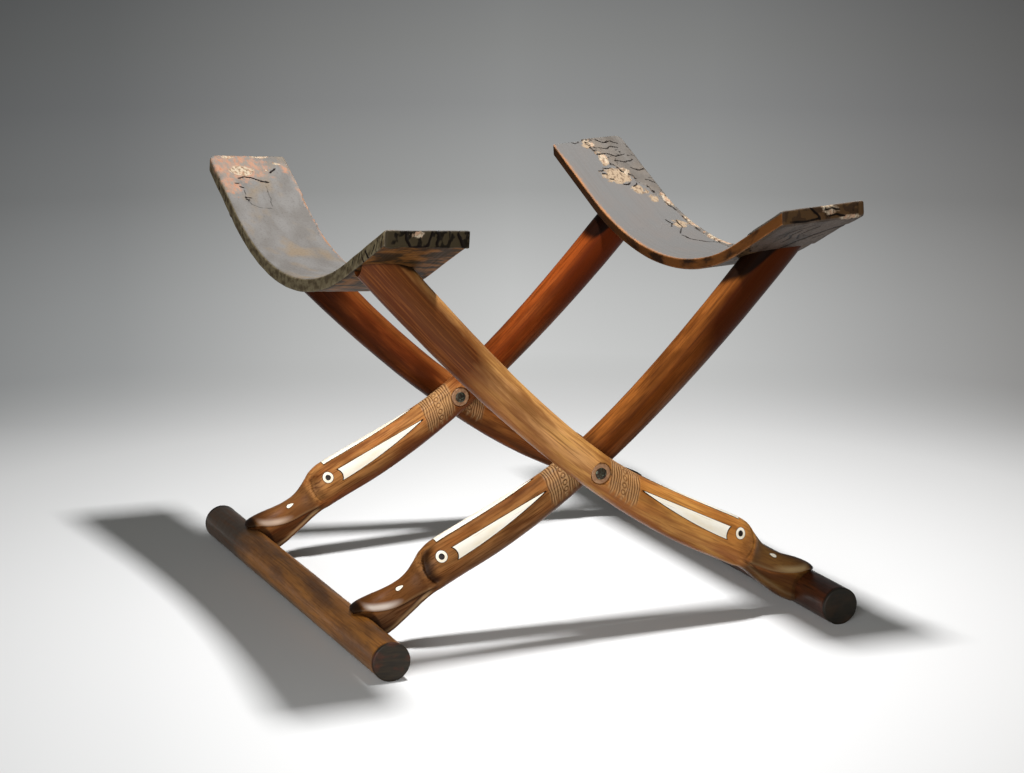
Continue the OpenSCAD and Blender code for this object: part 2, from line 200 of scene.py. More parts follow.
def tube(rings, **fields):
    """Closed tube through rows of points, each row a ring with an even count of points."""
    rows, count = rings.shape[:2]
    row, here = np.meshgrid(np.arange(rows - 1) * count, np.arange(count), indexing="ij")
    there = (here + 1) % count
    sides = np.stack([row + here, row + there, row + count + there, row + count + here], -1).reshape(-1, 4)
    even = np.arange(0, count, 2)
    last = (rows - 1) * count
    first_cap = [np.full(len(even), rows * count), (even + 2) % count, even + 1, even]
    last_cap = [np.full(len(even), rows * count + 1), last + even, last + even + 1, last + (even + 2) % count]
    faces = np.concatenate([sides, np.stack(first_cap, -1), np.stack(last_cap, -1)])

    def with_middles(grid):
        flat = grid.reshape(rows * count, -1)
        full = np.concatenate([flat, grid[[0, -1]].reshape(2, count, -1).mean(axis=1)])
        return full if grid.ndim == 3 else full[:, 0]

    return part(with_middles(rings), faces, **{key: with_middles(grid) for key, grid in fields.items()})


def sheet_faces(rows, cols, wrap=False):
    """Four-sided faces of a grid of points, closed into a band if wrap is true."""
    row, col = np.meshgrid(np.arange(rows - 1), np.arange(cols if wrap else cols - 1), indexing="ij")
    after = (col + 1) % cols
    corners = [row * cols + col, row * cols + after, (row + 1) * cols + after, (row + 1) * cols + col]
    return np.stack(corners, -1).reshape(-1, 4)


def thicken(top, under, faces, **fields):
    """Closed shell between two sheets of points that share their faces."""
    top, under = top.reshape(-1, 3), under.reshape(-1, 3)
    count = len(top)
    edges = np.concatenate([faces[:, [i, (i + 1) % 4]] for i in range(4)])
    inward = np.isin(edges[:, 0] * count + edges[:, 1], edges[:, 1] * count + edges[:, 0])
    rim = edges[~inward]
    sides = np.column_stack([rim[:, 1], rim[:, 0], rim[:, 0] + count, rim[:, 1] + count])
    both = {key: np.concatenate([values, values]) for key, values in fields.items()}
    return part(np.concatenate([top, under]), np.concatenate([faces, faces[:, ::-1] + count, sides]), **both)


def grid_normals(grid, wrap):
    """Unit normals of a grid of points; wrap says that each row closes on itself."""
    along = np.gradient(grid, axis=0)
    across = (np.roll(grid, -1, 1) - np.roll(grid, 1, 1)) if wrap else np.gradient(grid, axis=1)
    normal = np.cross(along, across)
    return normal / np.maximum(np.linalg.norm(normal, axis=-1, keepdims=True), 1e-9)


# Curves and hand-made unevenness
def ease(t):
    """Soft step from 0 to 1."""
    t = np.clip(t, 0, 1)
    return t * t * (3 - 2 * t)


def rising(value, start, width):
    """Soft step from 0 at start to 1 a width further on."""
    return ease((value - start) / width)


def falling(value, end, width):
    """Soft step from 1 down to 0 at end, over a width before it."""
    return ease((end - value) / width)


def bump(distance, width):
    """Rounded hump: 1 at no distance, and next to nothing from twice the width on."""
    return np.exp(-((distance / width) ** 2))


def round_angles(count):
    """Evenly spaced angles of a full turn."""
    return np.arange(count) * 2 * math.pi / count


def curve(stations, places):
    """Smooth curve through rows of a place and its values, as one array for each value."""
    table = np.array(stations, float)
    known, values = table[:, 0], table[:, 1:]
    slopes = np.gradient(values, known, axis=0)
    i = np.clip(np.searchsorted(known, places) - 1, 0, len(known) - 2)
    step = (known[i + 1] - known[i])[:, None]
    t = np.clip((np.asarray(places) - known[i])[:, None] / step, 0, 1)
    ends = values[i] * (2 * t**3 - 3 * t**2 + 1) + values[i + 1] * (3 * t**2 - 2 * t**3)
    bends = step * (slopes[i] * (t**3 - 2 * t**2 + t) + slopes[i + 1] * (t**3 - t**2))
    return (ends + bends).T


def lumps(points, size, seed, waves=20):
    """Smooth random swelling, about -1 to 1, in lumps of about the given size."""
    random = np.random.default_rng(seed)
    heading = random.normal(size=(waves, points.shape[-1]))
    heading /= np.linalg.norm(heading, axis=1, keepdims=True)
    rate = 2 * math.pi / size * random.uniform(0.5, 1.3, (waves, 1))
    phase = random.uniform(0, 2 * math.pi, waves)
    return np.cos(points @ (heading * rate).T + phase).sum(-1) * math.sqrt(0.5 / waves)


def pits(points, depth, size, seed):
    """Depth of smooth pits that hand work and wear leave, each of about the given size."""
    return depth * (1 + lumps(points, size, seed))


def cell_borders(points, seeds, batch=4000):
    """Distance from the border between the two nearest seeds, worked out for a batch of points at a time."""
    border = np.empty(len(points))
    for start in range(0, len(points), batch):
        piece = points[start:start + batch]
        gap = np.linalg.norm(piece[:, None] - seeds[None], axis=2)
        order = np.argpartition(gap, 1, axis=1)[:, :2]
        a, b = seeds[order[:, 0]], seeds[order[:, 1]]
        apart = np.maximum(np.linalg.norm(b - a, axis=1), 1e-6)
        border[start:start + batch] = np.abs(np.einsum("ij,ij->i", (a + b) / 2 - piece, b - a)) / apart
    return border


def from_line(points, line):
    """Distance of each point from a chain of straight stretches."""
    best = np.full(len(points), 1e9)
    for a, b in zip(line[:-1], line[1:]):
        a, b = np.array(a, float), np.array(b, float)
        way = b - a
        share = np.clip((points - a) @ way / (way @ way), 0, 1)
        best = np.minimum(best, np.linalg.norm(points - a - share[:, None] * way, axis=1))
    return best


# The leg's own frame: u runs from the foot rail's axis up the duck's head, v is square to u
def leg_uv(x, z):
    dx, dz = x - foot_x, z - rail_z
    return dz * math.sin(head_a) - dx * math.cos(head_a), dx * math.sin(head_a) + dz * math.cos(head_a)


def from_leg(grid, leg_y, flip):
    """Points (u, y, v) of a leg, in the frame's axes."""
    u, y, v = grid[..., 0], grid[..., 1], grid[..., 2]
    x = foot_x - u * math.cos(head_a) + v * math.sin(head_a)
    z = rail_z + u * math.sin(head_a) + v * math.cos(head_a)
    return np.stack([flip * x, leg_y + y, z], -1)


# Dished seat rail: a place across it, along it and down into it
def seat_z(y, depth):
    radius = seat_r + depth
    bent = radius * math.sin(seat_ramp)
    hollow = seat_low + seat_r - np.sqrt(radius**2 - np.minimum(np.abs(y), bent) ** 2)
    rise = (np.abs(y) - seat_r * math.sin(seat_ramp)) * math.tan(seat_ramp) - depth / math.cos(seat_ramp)
    ramp = seat_low + seat_r * (1 - math.cos(seat_ramp)) + rise
    return np.where(np.abs(y) <= bent, hollow, ramp)


seat_end = float(seat_z(np.array(seat_len / 2), 0.0))


def from_seat(grid, flip):
    """Points (across, along, depth) of a seat rail, in the frame's axes."""
    across, y, depth = grid[..., 0], grid[..., 1], grid[..., 2]
    rise = seat_z(y, depth) - seat_end
    x = -seat_x + across * math.cos(seat_tilt) + rise * math.sin(seat_tilt)
    z = seat_end - across * math.sin(seat_tilt) + rise * math.cos(seat_tilt)
    return np.stack([flip * x, y, z], -1)


def over_seat(points, flip, depth):
    """How far points lie over the surface at a depth in the seat rail."""
    dx, dz = flip * points[..., 0] + seat_x, points[..., 2] - seat_end
    flat_z = seat_end + dx * math.sin(seat_tilt) + dz * math.cos(seat_tilt)
    return flat_z - seat_z(points[..., 1], depth)


def across_seat(points, flip):
    """Place of points across the seat rail, from its outer side to its inner one."""
    dx, dz = flip * points[..., 0] + seat_x, points[..., 2] - seat_end
    return dx * math.cos(seat_tilt) - dz * math.sin(seat_tilt)


pivot_uv = leg_uv(0.0, pivot_h)
top_uv = leg_uv(-seat_x - top_shift, float(seat_z(np.array((outer_y + inner_y) / 2), seat_t)))


def bend(u, a, b, slope_a, slope_b):
    """Smooth curve from point a to point b, with its slope at each of them."""
    d = b[0] - a[0]
    t = (u - a[0]) / d
    ends = a[1] * (2 * t**3 - 3 * t**2 + 1) + b[1] * (3 * t**2 - 2 * t**3)
    return ends + d * slope_a * (t**3 - 2 * t**2 + t) + d * slope_b * (t**3 - t**2)


def leg_middle(u):
    """Height of the leg's middle line."""
    low = bend(u, (neck_u, neck_v), pivot_uv, 0, math.tan(pivot_turn))
    high = bend(u, pivot_uv, top_uv, math.tan(pivot_turn), math.tan(top_turn))
    straight = top_uv[1] + (u - top_uv[0]) * math.tan(top_turn)
    over_neck = np.where(u <= pivot_uv[0], low, np.where(u <= top_uv[0], high, straight))
    return np.where(u <= neck_u, neck_v, over_neck)


def leg_turn(u):
    """How far the middle line leans from u, as an angle."""
    low = pivot_turn * (u - neck_u) / (pivot_uv[0] - neck_u)
    high = pivot_turn + (top_turn - pivot_turn) * np.minimum(1, (u - pivot_uv[0]) / (top_uv[0] - pivot_uv[0]))
    return np.where(u <= neck_u, 0, np.where(u <= pivot_uv[0], low, high))


def leg_half(u):
    """Half the leg's height, square to u."""
    low = neck_w + (pivot_w - neck_w) * ease((u - neck_u) / (pivot_uv[0] - neck_u))
    high = pivot_w + (top_w - pivot_w) * ease((u - pivot_uv[0]) / (top_uv[0] - pivot_uv[0]))
    return np.where(u <= pivot_uv[0], low, high) / 2 / np.cos(leg_turn(u))


# Duck's head, from the tip of the bill to the neck. Each row gives a place along u, then the heights of
# the ridge, upper lip, lower lip and throat, then the half-widths at the upper lip, under it and at the
# lower lip
bill_v = rail_r + bill_rise
crown_v = neck_v + neck_w / 2
jaw_v = neck_v - neck_w / 2
HEAD = [
    (5, bill_v - 2.4, bill_v - 3.8, -9.0, -12.0, 3.4, 2.1, 2.1),
    (6.5, bill_v - 1.2, bill_v - 3.6, -9.2, -13.0, 6.9, 4.1, 4.1),
    (9.5, bill_v - 0.3, bill_v - 4.0, -9.4, -15.0, 9.6, 6.2, 6.4),
    (14, bill_v, bill_v - 5.5, -9.8, -15.6, 11.8, 7.7, 8.3),
    (20, bill_v, bill_v - 9.0, -10.0, -15.6, 13.2, 8.5, 9.4),
    (28, bill_v - 0.6, 8.2, -9.4, -14.8, 13.5, 8.6, 9.8),
    (36, bill_v - 1.5, 5.4, -8.0, -13.2, 12.5, 8.3, 9.6),
    (45, bill_v - 1.9, 3.5, -6.1, -11.2, 10.7, 8.0, 9.1),
    (54, bill_v - 1.2, 3.0, -4.0, -9.0, 9.9, 8.1, 9.0),
    (61, bill_v + 0.9, 2.9, -1.9, -7.2, 10.2, 8.8, 9.5),
    (67, bill_v + 3.9, 2.8, -0.3, -5.8, 11.4, 10.2, 10.7),
    (73, crown_v - 5.9, 3.2, 1.4, -5.0, 12.6, 12.0, 12.2),
    (79, crown_v - 2.4, 5.4, 3.5, jaw_v, 13.3, 13.1, 13.2),
    (86, crown_v - 0.5, 9.0, 6.0, jaw_v, half_t, half_t, half_t),
    (96, crown_v, 12.6, 8.0, jaw_v, half_t, half_t, half_t),
    (neck_u, crown_v, neck_v, 9.0, jaw_v, half_t, half_t, half_t),
]
HEAD_KEYS = ("ridge", "lip", "low_lip", "throat", "half", "web_half", "low_half")
bill_end = 68.0
head_start = 84.0
lips_apart = 5.0
bill_hollow = 0.35
# Where along u the bill's hollow sides start and end: the place and the width of the soft step there
HOLLOW_FROM = (14, 20)
HOLLOW_TO = (bill_end + 4, 14)


def leg_shape(u):
    """Named heights and half-widths of the leg's cross-section at each place along u."""
    u = np.asarray(u, float)
    head = dict(zip(HEAD_KEYS, curve(HEAD, np.minimum(u, neck_u))))
    middle, half = leg_middle(u), leg_half(u)
    shaft = dict(ridge=middle + half, lip=middle, low_lip=middle - lips_apart, throat=middle - half)
    shaft.update(half=half_t + 0 * u, web_half=half_t + 0 * u, low_half=half_t + 0 * u)
    return {key: np.where(u < neck_u, head[key], shaft[key]) for key in HEAD_KEYS}


def bill_peak(u):
    """Over 1, the bill's sides run hollow up to its ridge."""
    return 1 + bill_hollow * rising(u, *HOLLOW_FROM) * falling(u, *HOLLOW_TO)


# Points round half a cross-section: the dome over the upper lip, the lip's rounded edge, the hollow web
# between the lips and the curve under the lower one. On the neck and shaft, the points under the dome lie
# at the lower angles instead
LIP_ANGLE = 98.0
WEB_ANGLE = 112.0
lip_in = np.array([0.12, 0.45, 0.85, 1.0])
lip_down = np.array([0.35, 0.8, 1.0, 1.6])
lip_gap = 1.0
web_hollow = 0.7
dome_angles = np.radians(np.linspace(0, 90, 30))
web_steps = np.linspace(0, 1, 9)[1:]
under_angles = np.radians(np.linspace(0, 90, 22)[1:])
lower_angles = np.radians(np.concatenate([
    np.linspace(90, LIP_ANGLE, len(lip_in) + 1)[1:],
    np.linspace(LIP_ANGLE, WEB_ANGLE, len(web_steps) + 1)[1:],
    np.linspace(WEB_ANGLE, 180, len(under_angles) + 1)[1:],
]))


def leg_rings(u):
    """Cross-sections at places along u, as grids of y and v round each one."""
    s = {key: values[:, None] for key, values in leg_shape(u).items()}
    u = u[:, None]
    dome_y = s["half"] * np.sin(dome_angles)
    dome_v = s["lip"] + (s["ridge"] - s["lip"]) * np.cos(dome_angles) ** bill_peak(u)
    lip_y = s["half"] - (s["half"] - s["web_half"]) * lip_in
    lip_v = s["lip"] - lip_gap * lip_down
    web_top = s["lip"] - lip_gap * lip_down[-1]
    web_flat = s["web_half"] + (s["low_half"] - s["web_half"]) * web_steps
    web_y = web_flat - web_hollow * np.sin(math.pi * web_steps)
    web_v = web_top + (s["low_lip"] - web_top) * web_steps
    under_y = s["low_half"] * np.cos(under_angles)
    under_v = s["low_lip"] - (s["low_lip"] - s["throat"]) * np.sin(under_angles)
    head_y = np.concatenate([dome_y, lip_y, web_y, under_y], 1)
    head_v = np.concatenate([dome_v, lip_v, web_v, under_v], 1)
    round_y = np.concatenate([dome_y, s["half"] * np.sin(lower_angles)], 1)
    round_low = s["lip"] + (s["lip"] - s["throat"]) * np.cos(lower_angles)
    round_v = np.concatenate([dome_v, round_low], 1)
    share = ease((u - bill_end) / (head_start - bill_end))
    y = head_y + (round_y - head_y) * share
    v = head_v + (round_v - head_v) * share
    return np.concatenate([y, -y[:, -2:0:-1]], 1), np.concatenate([v, v[:, -2:0:-1]], 1)


def shape_at(u):
    """The leg's named heights and half-widths at a grid of places."""
    return {key: values.reshape(u.shape) for key, values in leg_shape(u.ravel()).items()}


def side_y(u, v):
    """Half-width of the leg's side at a place (u, v) on it."""
    s = shape_at(u)
    over = v >= s["lip"]
    rise = np.where(over, (v - s["lip"]) / (s["ridge"] - s["lip"]), (s["lip"] - v) / (s["lip"] - s["throat"]))
    peak = np.where(over, bill_peak(u), 1)
    return s["half"] * np.sqrt(1 - np.clip(rise, 0, 0.999) ** (2 / peak))


# Carving of a leg: rings round the neck on both sides of a row of small ring-shaped knobs, and the cheek
PIN_RINGS = (222.8, 220.4, 217.9, 215.6, 213.3)
NECK_RINGS = (205.8, 203.5, 201.0, 198.7, 196.3, 194.0)
RINGS_START = 192.0
RINGS_END = 225.5
ring_lean = math.tan(math.radians(12.5))
ring_deep = 0.45
ring_wide = 0.5
rings_down = 0.62
KNOB_U = 209.2
KNOB_COUNT = 16
knob_r = 1.9
knob_wide = 0.45
knob_deep = 0.5
knob_girth_r = 15.0
cheek_u = 71.6
cheek_v = 15.5
cheek_bow = 0.030
cheek_proud = 0.6
cheek_hollow = 1.5
hollow_len = 13.0
cheek_dark_len = 12.0
washer_play = 0.8
# The cheek's height from below and from above, and how far out its carving starts: place and soft step
CHEEK_OVER = (2, 5)
CHEEK_UNDER = (33.5, 3)
CHEEK_OUT = (2, 4)


def cheek_line(v):
    """Where the bill meets the cheek, at each height."""
    return cheek_u + cheek_bow * (v - cheek_v) ** 2


def carve(grid, ring_side, cheek_deep):
    """Depth cut into the leg at each point, the dirt and painted shade in it, its rubbed ridges, and the
    washer's flat bed.
    """
    u, y, v = grid[..., 0], grid[..., 1], grid[..., 2]
    middle = leg_middle(u)
    leaning = u - ring_lean * (v - middle)
    around = np.arctan2(y, v - middle)
    # The knife wanders as it goes round, and the rings run out before the underside
    wander = 0.35 * np.sin(3 * around + 0.6 * u) + 0.2 * np.sin(7 * around + 0.3 * u)
    low = (v - middle) / leg_half(u)
    fading = ease((low + rings_down + 0.12 * np.sin(1.1 * u)) / 0.4)
    rings = fading * sum(bump(leaning + wander - place, ring_wide) for place in PIN_RINGS + NECK_RINGS)
    turn = (around / (2 * math.pi) * KNOB_COUNT) % 1 - 0.5
    spacing = 2 * math.pi * knob_girth_r / KNOB_COUNT
    off = np.hypot(leaning - KNOB_U, turn * spacing)
    knobs = bump(off - knob_r, knob_wide) * fading
    zone = fading * rising(leaning, RINGS_START, 3) * falling(leaning, RINGS_END, 2.5)
    rubbed = zone * (0.75 - 0.75 * np.minimum(rings + knobs, 1))
    # The cheek stands over the bill's root, which is hollowed along the cheek's edge
    cheek = u - cheek_line(v)
    on_cheek = rising(v, *CHEEK_OVER) * falling(v, *CHEEK_UNDER) * rising(np.abs(y), *CHEEK_OUT)
    proud = cheek_proud * rising(cheek, -7, 7) * (cheek < 0)
    hollow = cheek_hollow * cheek_deep * falling(cheek, hollow_len, hollow_len)
    hollow = hollow * ease(cheek / 0.9 + 0.2) * (cheek > -0.2) * (cheek < hollow_len)
    depth = ring_deep * np.minimum(rings, 1) + knob_deep * knobs + (hollow - proud) * on_cheek
    # Broad and narrow tool marks, longer along the leg
    depth = depth + 0.14 * lumps(grid * [0.35, 1, 1], 26, 5) + 0.05 * lumps(grid * [0.3, 1, 1], 7, 6)
    # The dark line along the cheek's edge and the darkened hollow behind it are painted shade
    line = bump(cheek - 0.6, 0.9) * 0.8
    shaded = cheek_deep ** 2 * falling(cheek, cheek_dark_len, 9) * (cheek > -0.6) * (cheek < cheek_dark_len)
    # Dark in the grooves of the rings and knobs, with the painted shade along the cheek
    dirt = 0.8 * np.clip(rings + knobs, 0, 1) + on_cheek * np.maximum(line, shaded)
    from_pin = np.hypot(u - pivot_uv[0], v - pivot_uv[1])
    bed = falling(from_pin, washer_d / 2 + washer_play, 0.6) * (y * ring_side > 0)
    return depth, np.clip(dirt, 0, 1), rubbed, bed


# A leg's top is sunk into its board's underside, and a front or back leg stops this far inside the
# board's outer edge. The search for its end runs a little past the place where the leg meets the board
top_sink = 1.2
front_inside = 1.4
back_inside = 3.6
top_over = 34.0
# Stretches of a leg along u, with the distance between its cross-sections: head, neck, rings and shaft
STRETCHES = ((5, 96, 0.9), (96, 186, 2.2), (186, 246, 0.5), (246, 380, 3.5))


def ring_grid(u):
    """Points (u, y, v) of the cross-sections at places along u."""
    y, v = leg_rings(u)
    return np.stack([np.broadcast_to(u[:, None], y.shape), y, v], -1)


def leg_surface(leg_y, flip):
    """Rings of the whole leg, from the bill on its foot rail to the wood inside its seat rail."""
    u = np.concatenate([np.arange(*stretch) for stretch in STRETCHES])
    far_u = np.arange(u[-1], top_uv[0] + top_over, 1.0)
    far = ring_grid(far_u)
    placed = from_leg(far, leg_y, flip)
    inside = back_inside if leg_y > 0 else front_inside
    over = over_seat(placed, flip, seat_t - top_sink)
    outward = inside - seat_w / 2 - across_seat(placed, flip)
    columns = range(far.shape[1])
    reach = np.minimum(*([np.interp(0.0, field[:, j], far_u) for j in columns] for field in (over, outward)))
    steps = np.linspace(0, 1, 30)[1:, None]
    top_u = u[-1] + (reach - u[-1]) * steps
    top_yv = [np.stack([np.interp(top_u[:, j], far_u, far[:, j, k]) for j in columns], 1) for k in (1, 2)]
    return np.concatenate([ring_grid(u), np.stack([top_u] + top_yv, -1)])


def out_of_leg(grid, wrap):
    """Unit normals of a grid on the leg's surface, all pointing out of the leg."""
    normals = grid_normals(grid, wrap)
    middle = np.stack([grid[..., 0], 0 * grid[..., 0], leg_middle(grid[..., 0])], -1)
    inward = np.einsum("ijk,ijk->ij", normals, grid - middle).mean() < 0
    return -normals if inward else normals


# Darkening of the lower jaw of an outer (1) or inner (-1) head: how strong, where along u it ends and how
# softly, and how far under the upper lip it starts
JAW_DARKENING = {1: (0.85, head_start - 6, 10, 1.5), -1: (0.4, bill_end - 4, 6, 4)}
# A board's shade on the top of its outer (1) or inner (-1) leg: its reach, how much further it goes up
# at the crest, where across the leg that starts and over how much, and how softly the shade ends
BOARD_SHADE = {1: (2.5, 4, 0.4, 0.4, 4), -1: (1, 23, 0.05, 0.6, 7)}
nail_u = 15.0
in_rail = 0.4
rail_shadow_reach = 6.5
# Where along u the tones change to the shaft's and to the painted shade at its top under the board, and
# where the light on the bill starts and ends: the place and the width of the soft step there
SHAFT_TONE = (214, 46)
TOP_SHADE_FROM = (330, 90)
GLEAM_FROM = (11, 9)
GLEAM_TO = (52, 26)


def leg_fields(grid, from_rail, carved, leg_y, flip, seed):
    """What the wood's colour layers read at each point of a leg, from 0 to 1, painted light and shade among
    them, and its place in the grain.
    """
    dirt, rubbed, bed = carved
    u, y, v = grid[..., 0], grid[..., 1], grid[..., 2]
    shape = leg_shape(u[:, 0])
    lip = shape["lip"][:, None]
    from_lip, from_low_lip = v - lip, v - shape["low_lip"][:, None]
    in_mouth = falling(from_lip, 0.2, 0.8) * rising(from_lip, -5, 3.5) * falling(u, head_start - 4, 8)
    on_bill = falling(u, bill_end + 4, 6)
    # Painted highlights along the edges of the upper and lower lips
    lip_highlights = bump(from_low_lip, 1.3) * on_bill + bump(from_lip - 0.5, 1.0) * on_bill
    nail = ease((nail_u - u - 0.25 * np.abs(v - bill_v)) / 4) * (v > lip - 2)
    # A dark line just under the lower lip's edge: painted shade
    low_lip_shade = bump(from_low_lip - 2.2, 0.9) * falling(u, bill_end + 8, 6) * (v < lip)
    jaw_strength, jaw_end, jaw_soft, under_lip = JAW_DARKENING[flip]
    jaw = jaw_strength * falling(u, jaw_end, jaw_soft) * falling(v, lip - under_lip, 2)
    # Painted shadow where the lower part of the bill meets the foot rail
    painted_rail_shadow = 0.95 * falling(from_rail, rail_r + rail_shadow_reach, 3.0) * (v < lip - 2)
    bed_rim = bed * (1 - bed) * 4
    rise = (v - leg_middle(u)) / leg_half(u)
    over = over_seat(from_leg(grid, leg_y, flip), flip, seat_t)
    reach, further, crest, crest_soft, soft = BOARD_SHADE[flip]
    shade = ease((over + (reach + further * rising(rise, crest, crest_soft))) / soft)
    # Darker in the mouth, round the washer's bed and on the lower jaw, with the painted shade under the lower
    # lip and at the rail
    dirt = np.maximum.reduce([dirt, 0.55 * in_mouth, 0.9 * bed_rim, 0.3 * bed, 0.9 * low_lip_shade, jaw, painted_rail_shadow])
    # Each leg is cut from a place of its own in the wood
    grain = np.stack([u, y + 7 * seed, v - leg_middle(u) + 40 * seed], -1) * MM
    return dict(
        grain=grain,
        dirt=dirt,
        worn=np.clip(lip_highlights + rubbed, 0, 1),
        bill=falling(u, bill_end + 3, 5) * ease((v - lip + 0.6) / 0.6),
        nail=nail,
        shaft=rising(u, *SHAFT_TONE),
        # Painted shade at the leg's top under its board, weaker on the leg's upper side
        under_seat=rising(u, *TOP_SHADE_FROM) * (1 - 0.8 * rising(rise, 0.2, 0.6)),
        rise=rise,
        gleam=bump(from_lip - 3.0, 2.8) * rising(u, *GLEAM_FROM) * falling(u, *GLEAM_TO),
        shade=shade,
    )


def carved_leg(leg_y, flip, ring_side, cheek_deep, seed):
    """A whole leg with its carving cut in, its washer's bed flat and its bill closed on the foot rail."""
    grid = leg_surface(leg_y, flip)
    depth, *carved = carve(grid, ring_side, cheek_deep)
    bed = carved[-1]
    cut = grid - out_of_leg(grid, True) * depth[..., None]
    floor_y = ring_side * (half_t - washer_sink)
    cut[..., 1] = np.where(bed > 0, cut[..., 1] + (floor_y - cut[..., 1]) * bed, cut[..., 1])
    cut[..., 1] = np.clip(cut[..., 1], -half_t, half_t)
    from_rail = np.maximum(np.hypot(cut[..., 0], cut[..., 2]), 1e-6)
    push = np.maximum(1, (rail_r - in_rail) / from_rail)
    cut[..., 0] *= push
    cut[..., 2] *= push
    return tube(from_leg(cut, leg_y, flip), **leg_fields(grid, from_rail, carved, leg_y, flip, seed))


# Inlays of a leg and the dark filler round them. Each lies a little proud of the wood and in its bed
BED_PROUD = 0.16
INLAY_PROUD = 0.3
PUPIL_PROUD = 0.24
NOSTRIL_PROUD = 0.15
NOSTRIL_BED_PROUD = 0.08
inlay_sunk = 1.2
nostril_sunk = 0.8
nostril_down = 5.6
eye_v = neck_v + eye_rise
stripe_over_eye = 2.2
notch_middle = 0.77
side_taper = 1.8
back_taper = 3
# How far the filler shows round a stripe, an eye and a nostril
stripe_filler = 0.45
eye_filler = 0.4
nostril_filler = 0.35
# What the wood's colour layers read where nothing is carved, and on the filler
PLAIN = dict.fromkeys(("dirt", "worn", "bill", "nail", "shaft", "under_seat", "rise", "gleam", "shade"), 0.0)
FILLER = PLAIN | dict(dirt=1.0, nail=1.0)


def side_stripe(grow):
    """Places of a side stripe, widened all round by grow."""
    s, t = np.meshgrid(np.linspace(0, 1, 46), np.linspace(0, 1, 9), indexing="ij")
    top = eye_v + stripe_over_eye + grow
    width = side_w + 2 * grow
    start_v = top - width * (1 - t)
    centre_u = stripe_u - side_notch * notch_middle
    radius = side_notch - grow
    notch_u = centre_u + np.sqrt(np.maximum(radius**2 - (start_v - top + width / 2) ** 2, 1)) - grow
    end_u = stripe_u + side_len + 3 * grow
    u = notch_u + (end_u - notch_u) * s
    share = np.clip((u - stripe_u) / (end_u - stripe_u), 0, 1)
    v = top - (side_w * (1 - share**side_taper) + 2 * grow) * (1 - t)
    return u, v


def back_stripe(grow):
    """Points of the stripe along the back of a neck, widened all round by grow."""
    s, t = np.meshgrid(np.linspace(0, 1, 40), np.linspace(-1, 1, 9), indexing="ij")
    u = stripe_u - side_notch - grow + (back_len + 3 * grow) * s
    y = (back_w / 2 * (1 - s**back_taper) + grow) * t
    shape = shape_at(u)
    v = shape["lip"] + (shape["ridge"] - shape["lip"]) * np.sqrt(1 - (y / shape["half"]) ** 2)
    return u, y, v


def eye_patch(inner_r, outer_r):
    """Places of a ring or disc about the middle of the eye."""
    r, a = np.meshgrid(np.linspace(inner_r, outer_r, 4), round_angles(28), indexing="ij")
    return eye_u + r * np.cos(a), eye_v + r * np.sin(a)


def nostril_patch(grow):
    """Places of a nostril's drop shape, widened all round by grow."""
    r, a = np.meshgrid(np.linspace(0.05, 1, 5), round_angles(20), indexing="ij")
    u = nostril_u + (nostril_l / 2 + grow) * r * np.cos(a)
    v = bill_v - nostril_down + (nostril_w / 2 + grow) * r * np.sin(a) * (1 - 0.4 * np.cos(a))
    return u, v


def set_in(u, y, v, proud, sunk, leg_y, flip, wrap, fields):
    """Closed shell that follows a patch of the leg's surface, proud of it and sunk into it."""
    grid = np.stack([u, y, v], -1)
    normals = out_of_leg(grid, wrap)
    top, under = grid + normals * proud, grid - normals * sunk
    faces = sheet_faces(*u.shape, wrap)
    grain = top.reshape(-1, 3) * MM
    values = {key: np.full(len(grain), value) for key, value in fields.items()}
    return thicken(from_leg(top, leg_y, flip), from_leg(under, leg_y, flip), faces, grain=grain, **values)


def both_sides(places, proud, sunk, leg_y, flip, wrap=False, **fields):
    """Inlays on the two sides of a leg."""
    u, v = places
    return [set_in(u, side * side_y(u, v), v, proud, sunk, leg_y, flip, wrap, fields) for side in (-1, 1)]


def neck_stripes(grow, proud, leg_y, flip, **fields):
    """A stripe on each side of a neck and one along its back."""
    sides = both_sides(side_stripe(grow), proud, inlay_sunk, leg_y, flip, **fields)
    return sides + [set_in(*back_stripe(grow), proud, inlay_sunk, leg_y, flip, False, fields)]


def filler_lines(leg_y, flip):
    """Dark filler that shows as a line round each inlay."""
    eye, nostril = eye_patch(0.2, eye_d / 2 + eye_filler), nostril_patch(nostril_filler)
    shells = neck_stripes(stripe_filler, BED_PROUD, leg_y, flip, **FILLER)
    shells += both_sides(eye, BED_PROUD, inlay_sunk, leg_y, flip, True, **FILLER)
    shells += both_sides(nostril, NOSTRIL_BED_PROUD, nostril_sunk, leg_y, flip, True, **FILLER)
    return shells


# Materials
def hex_colour(text):
    """Linear colour of an sRGB hex value."""
    parts = [int(text[i:i + 2], 16) / 255 for i in (1, 3, 5)]
    return tuple(c / 12.92 if c <= 0.04045 else ((c + 0.055) / 1.055) ** 2.4 for c in parts) + (1.0,)


def add(tree, kind, links=None, stops=None, **settings):
    """Adds a shader node with its settings; links holds a value or another node's socket for each input."""
    node = tree.nodes.new("ShaderNode" + kind)
    for key, value in settings.items():
        setattr(node, key, value)
    for key, value in (links or {}).items():
        if isinstance(value, bpy.types.NodeSocket):
            tree.links.new(value, node.inputs[key])
        else:
            node.inputs[key].default_value = value
    for i, (place, colour) in enumerate(stops or ()):
        stop = node.color_ramp.elements[i] if i < 2 else node.color_ramp.elements.new(place)
        stop.position = place
        stop.color = hex_colour(colour)
    return node


def maths(tree, operation, *values):
    """What a sum on values or sockets gives."""
    return add(tree, "Math", dict(enumerate(values)), operation=operation).outputs[0]


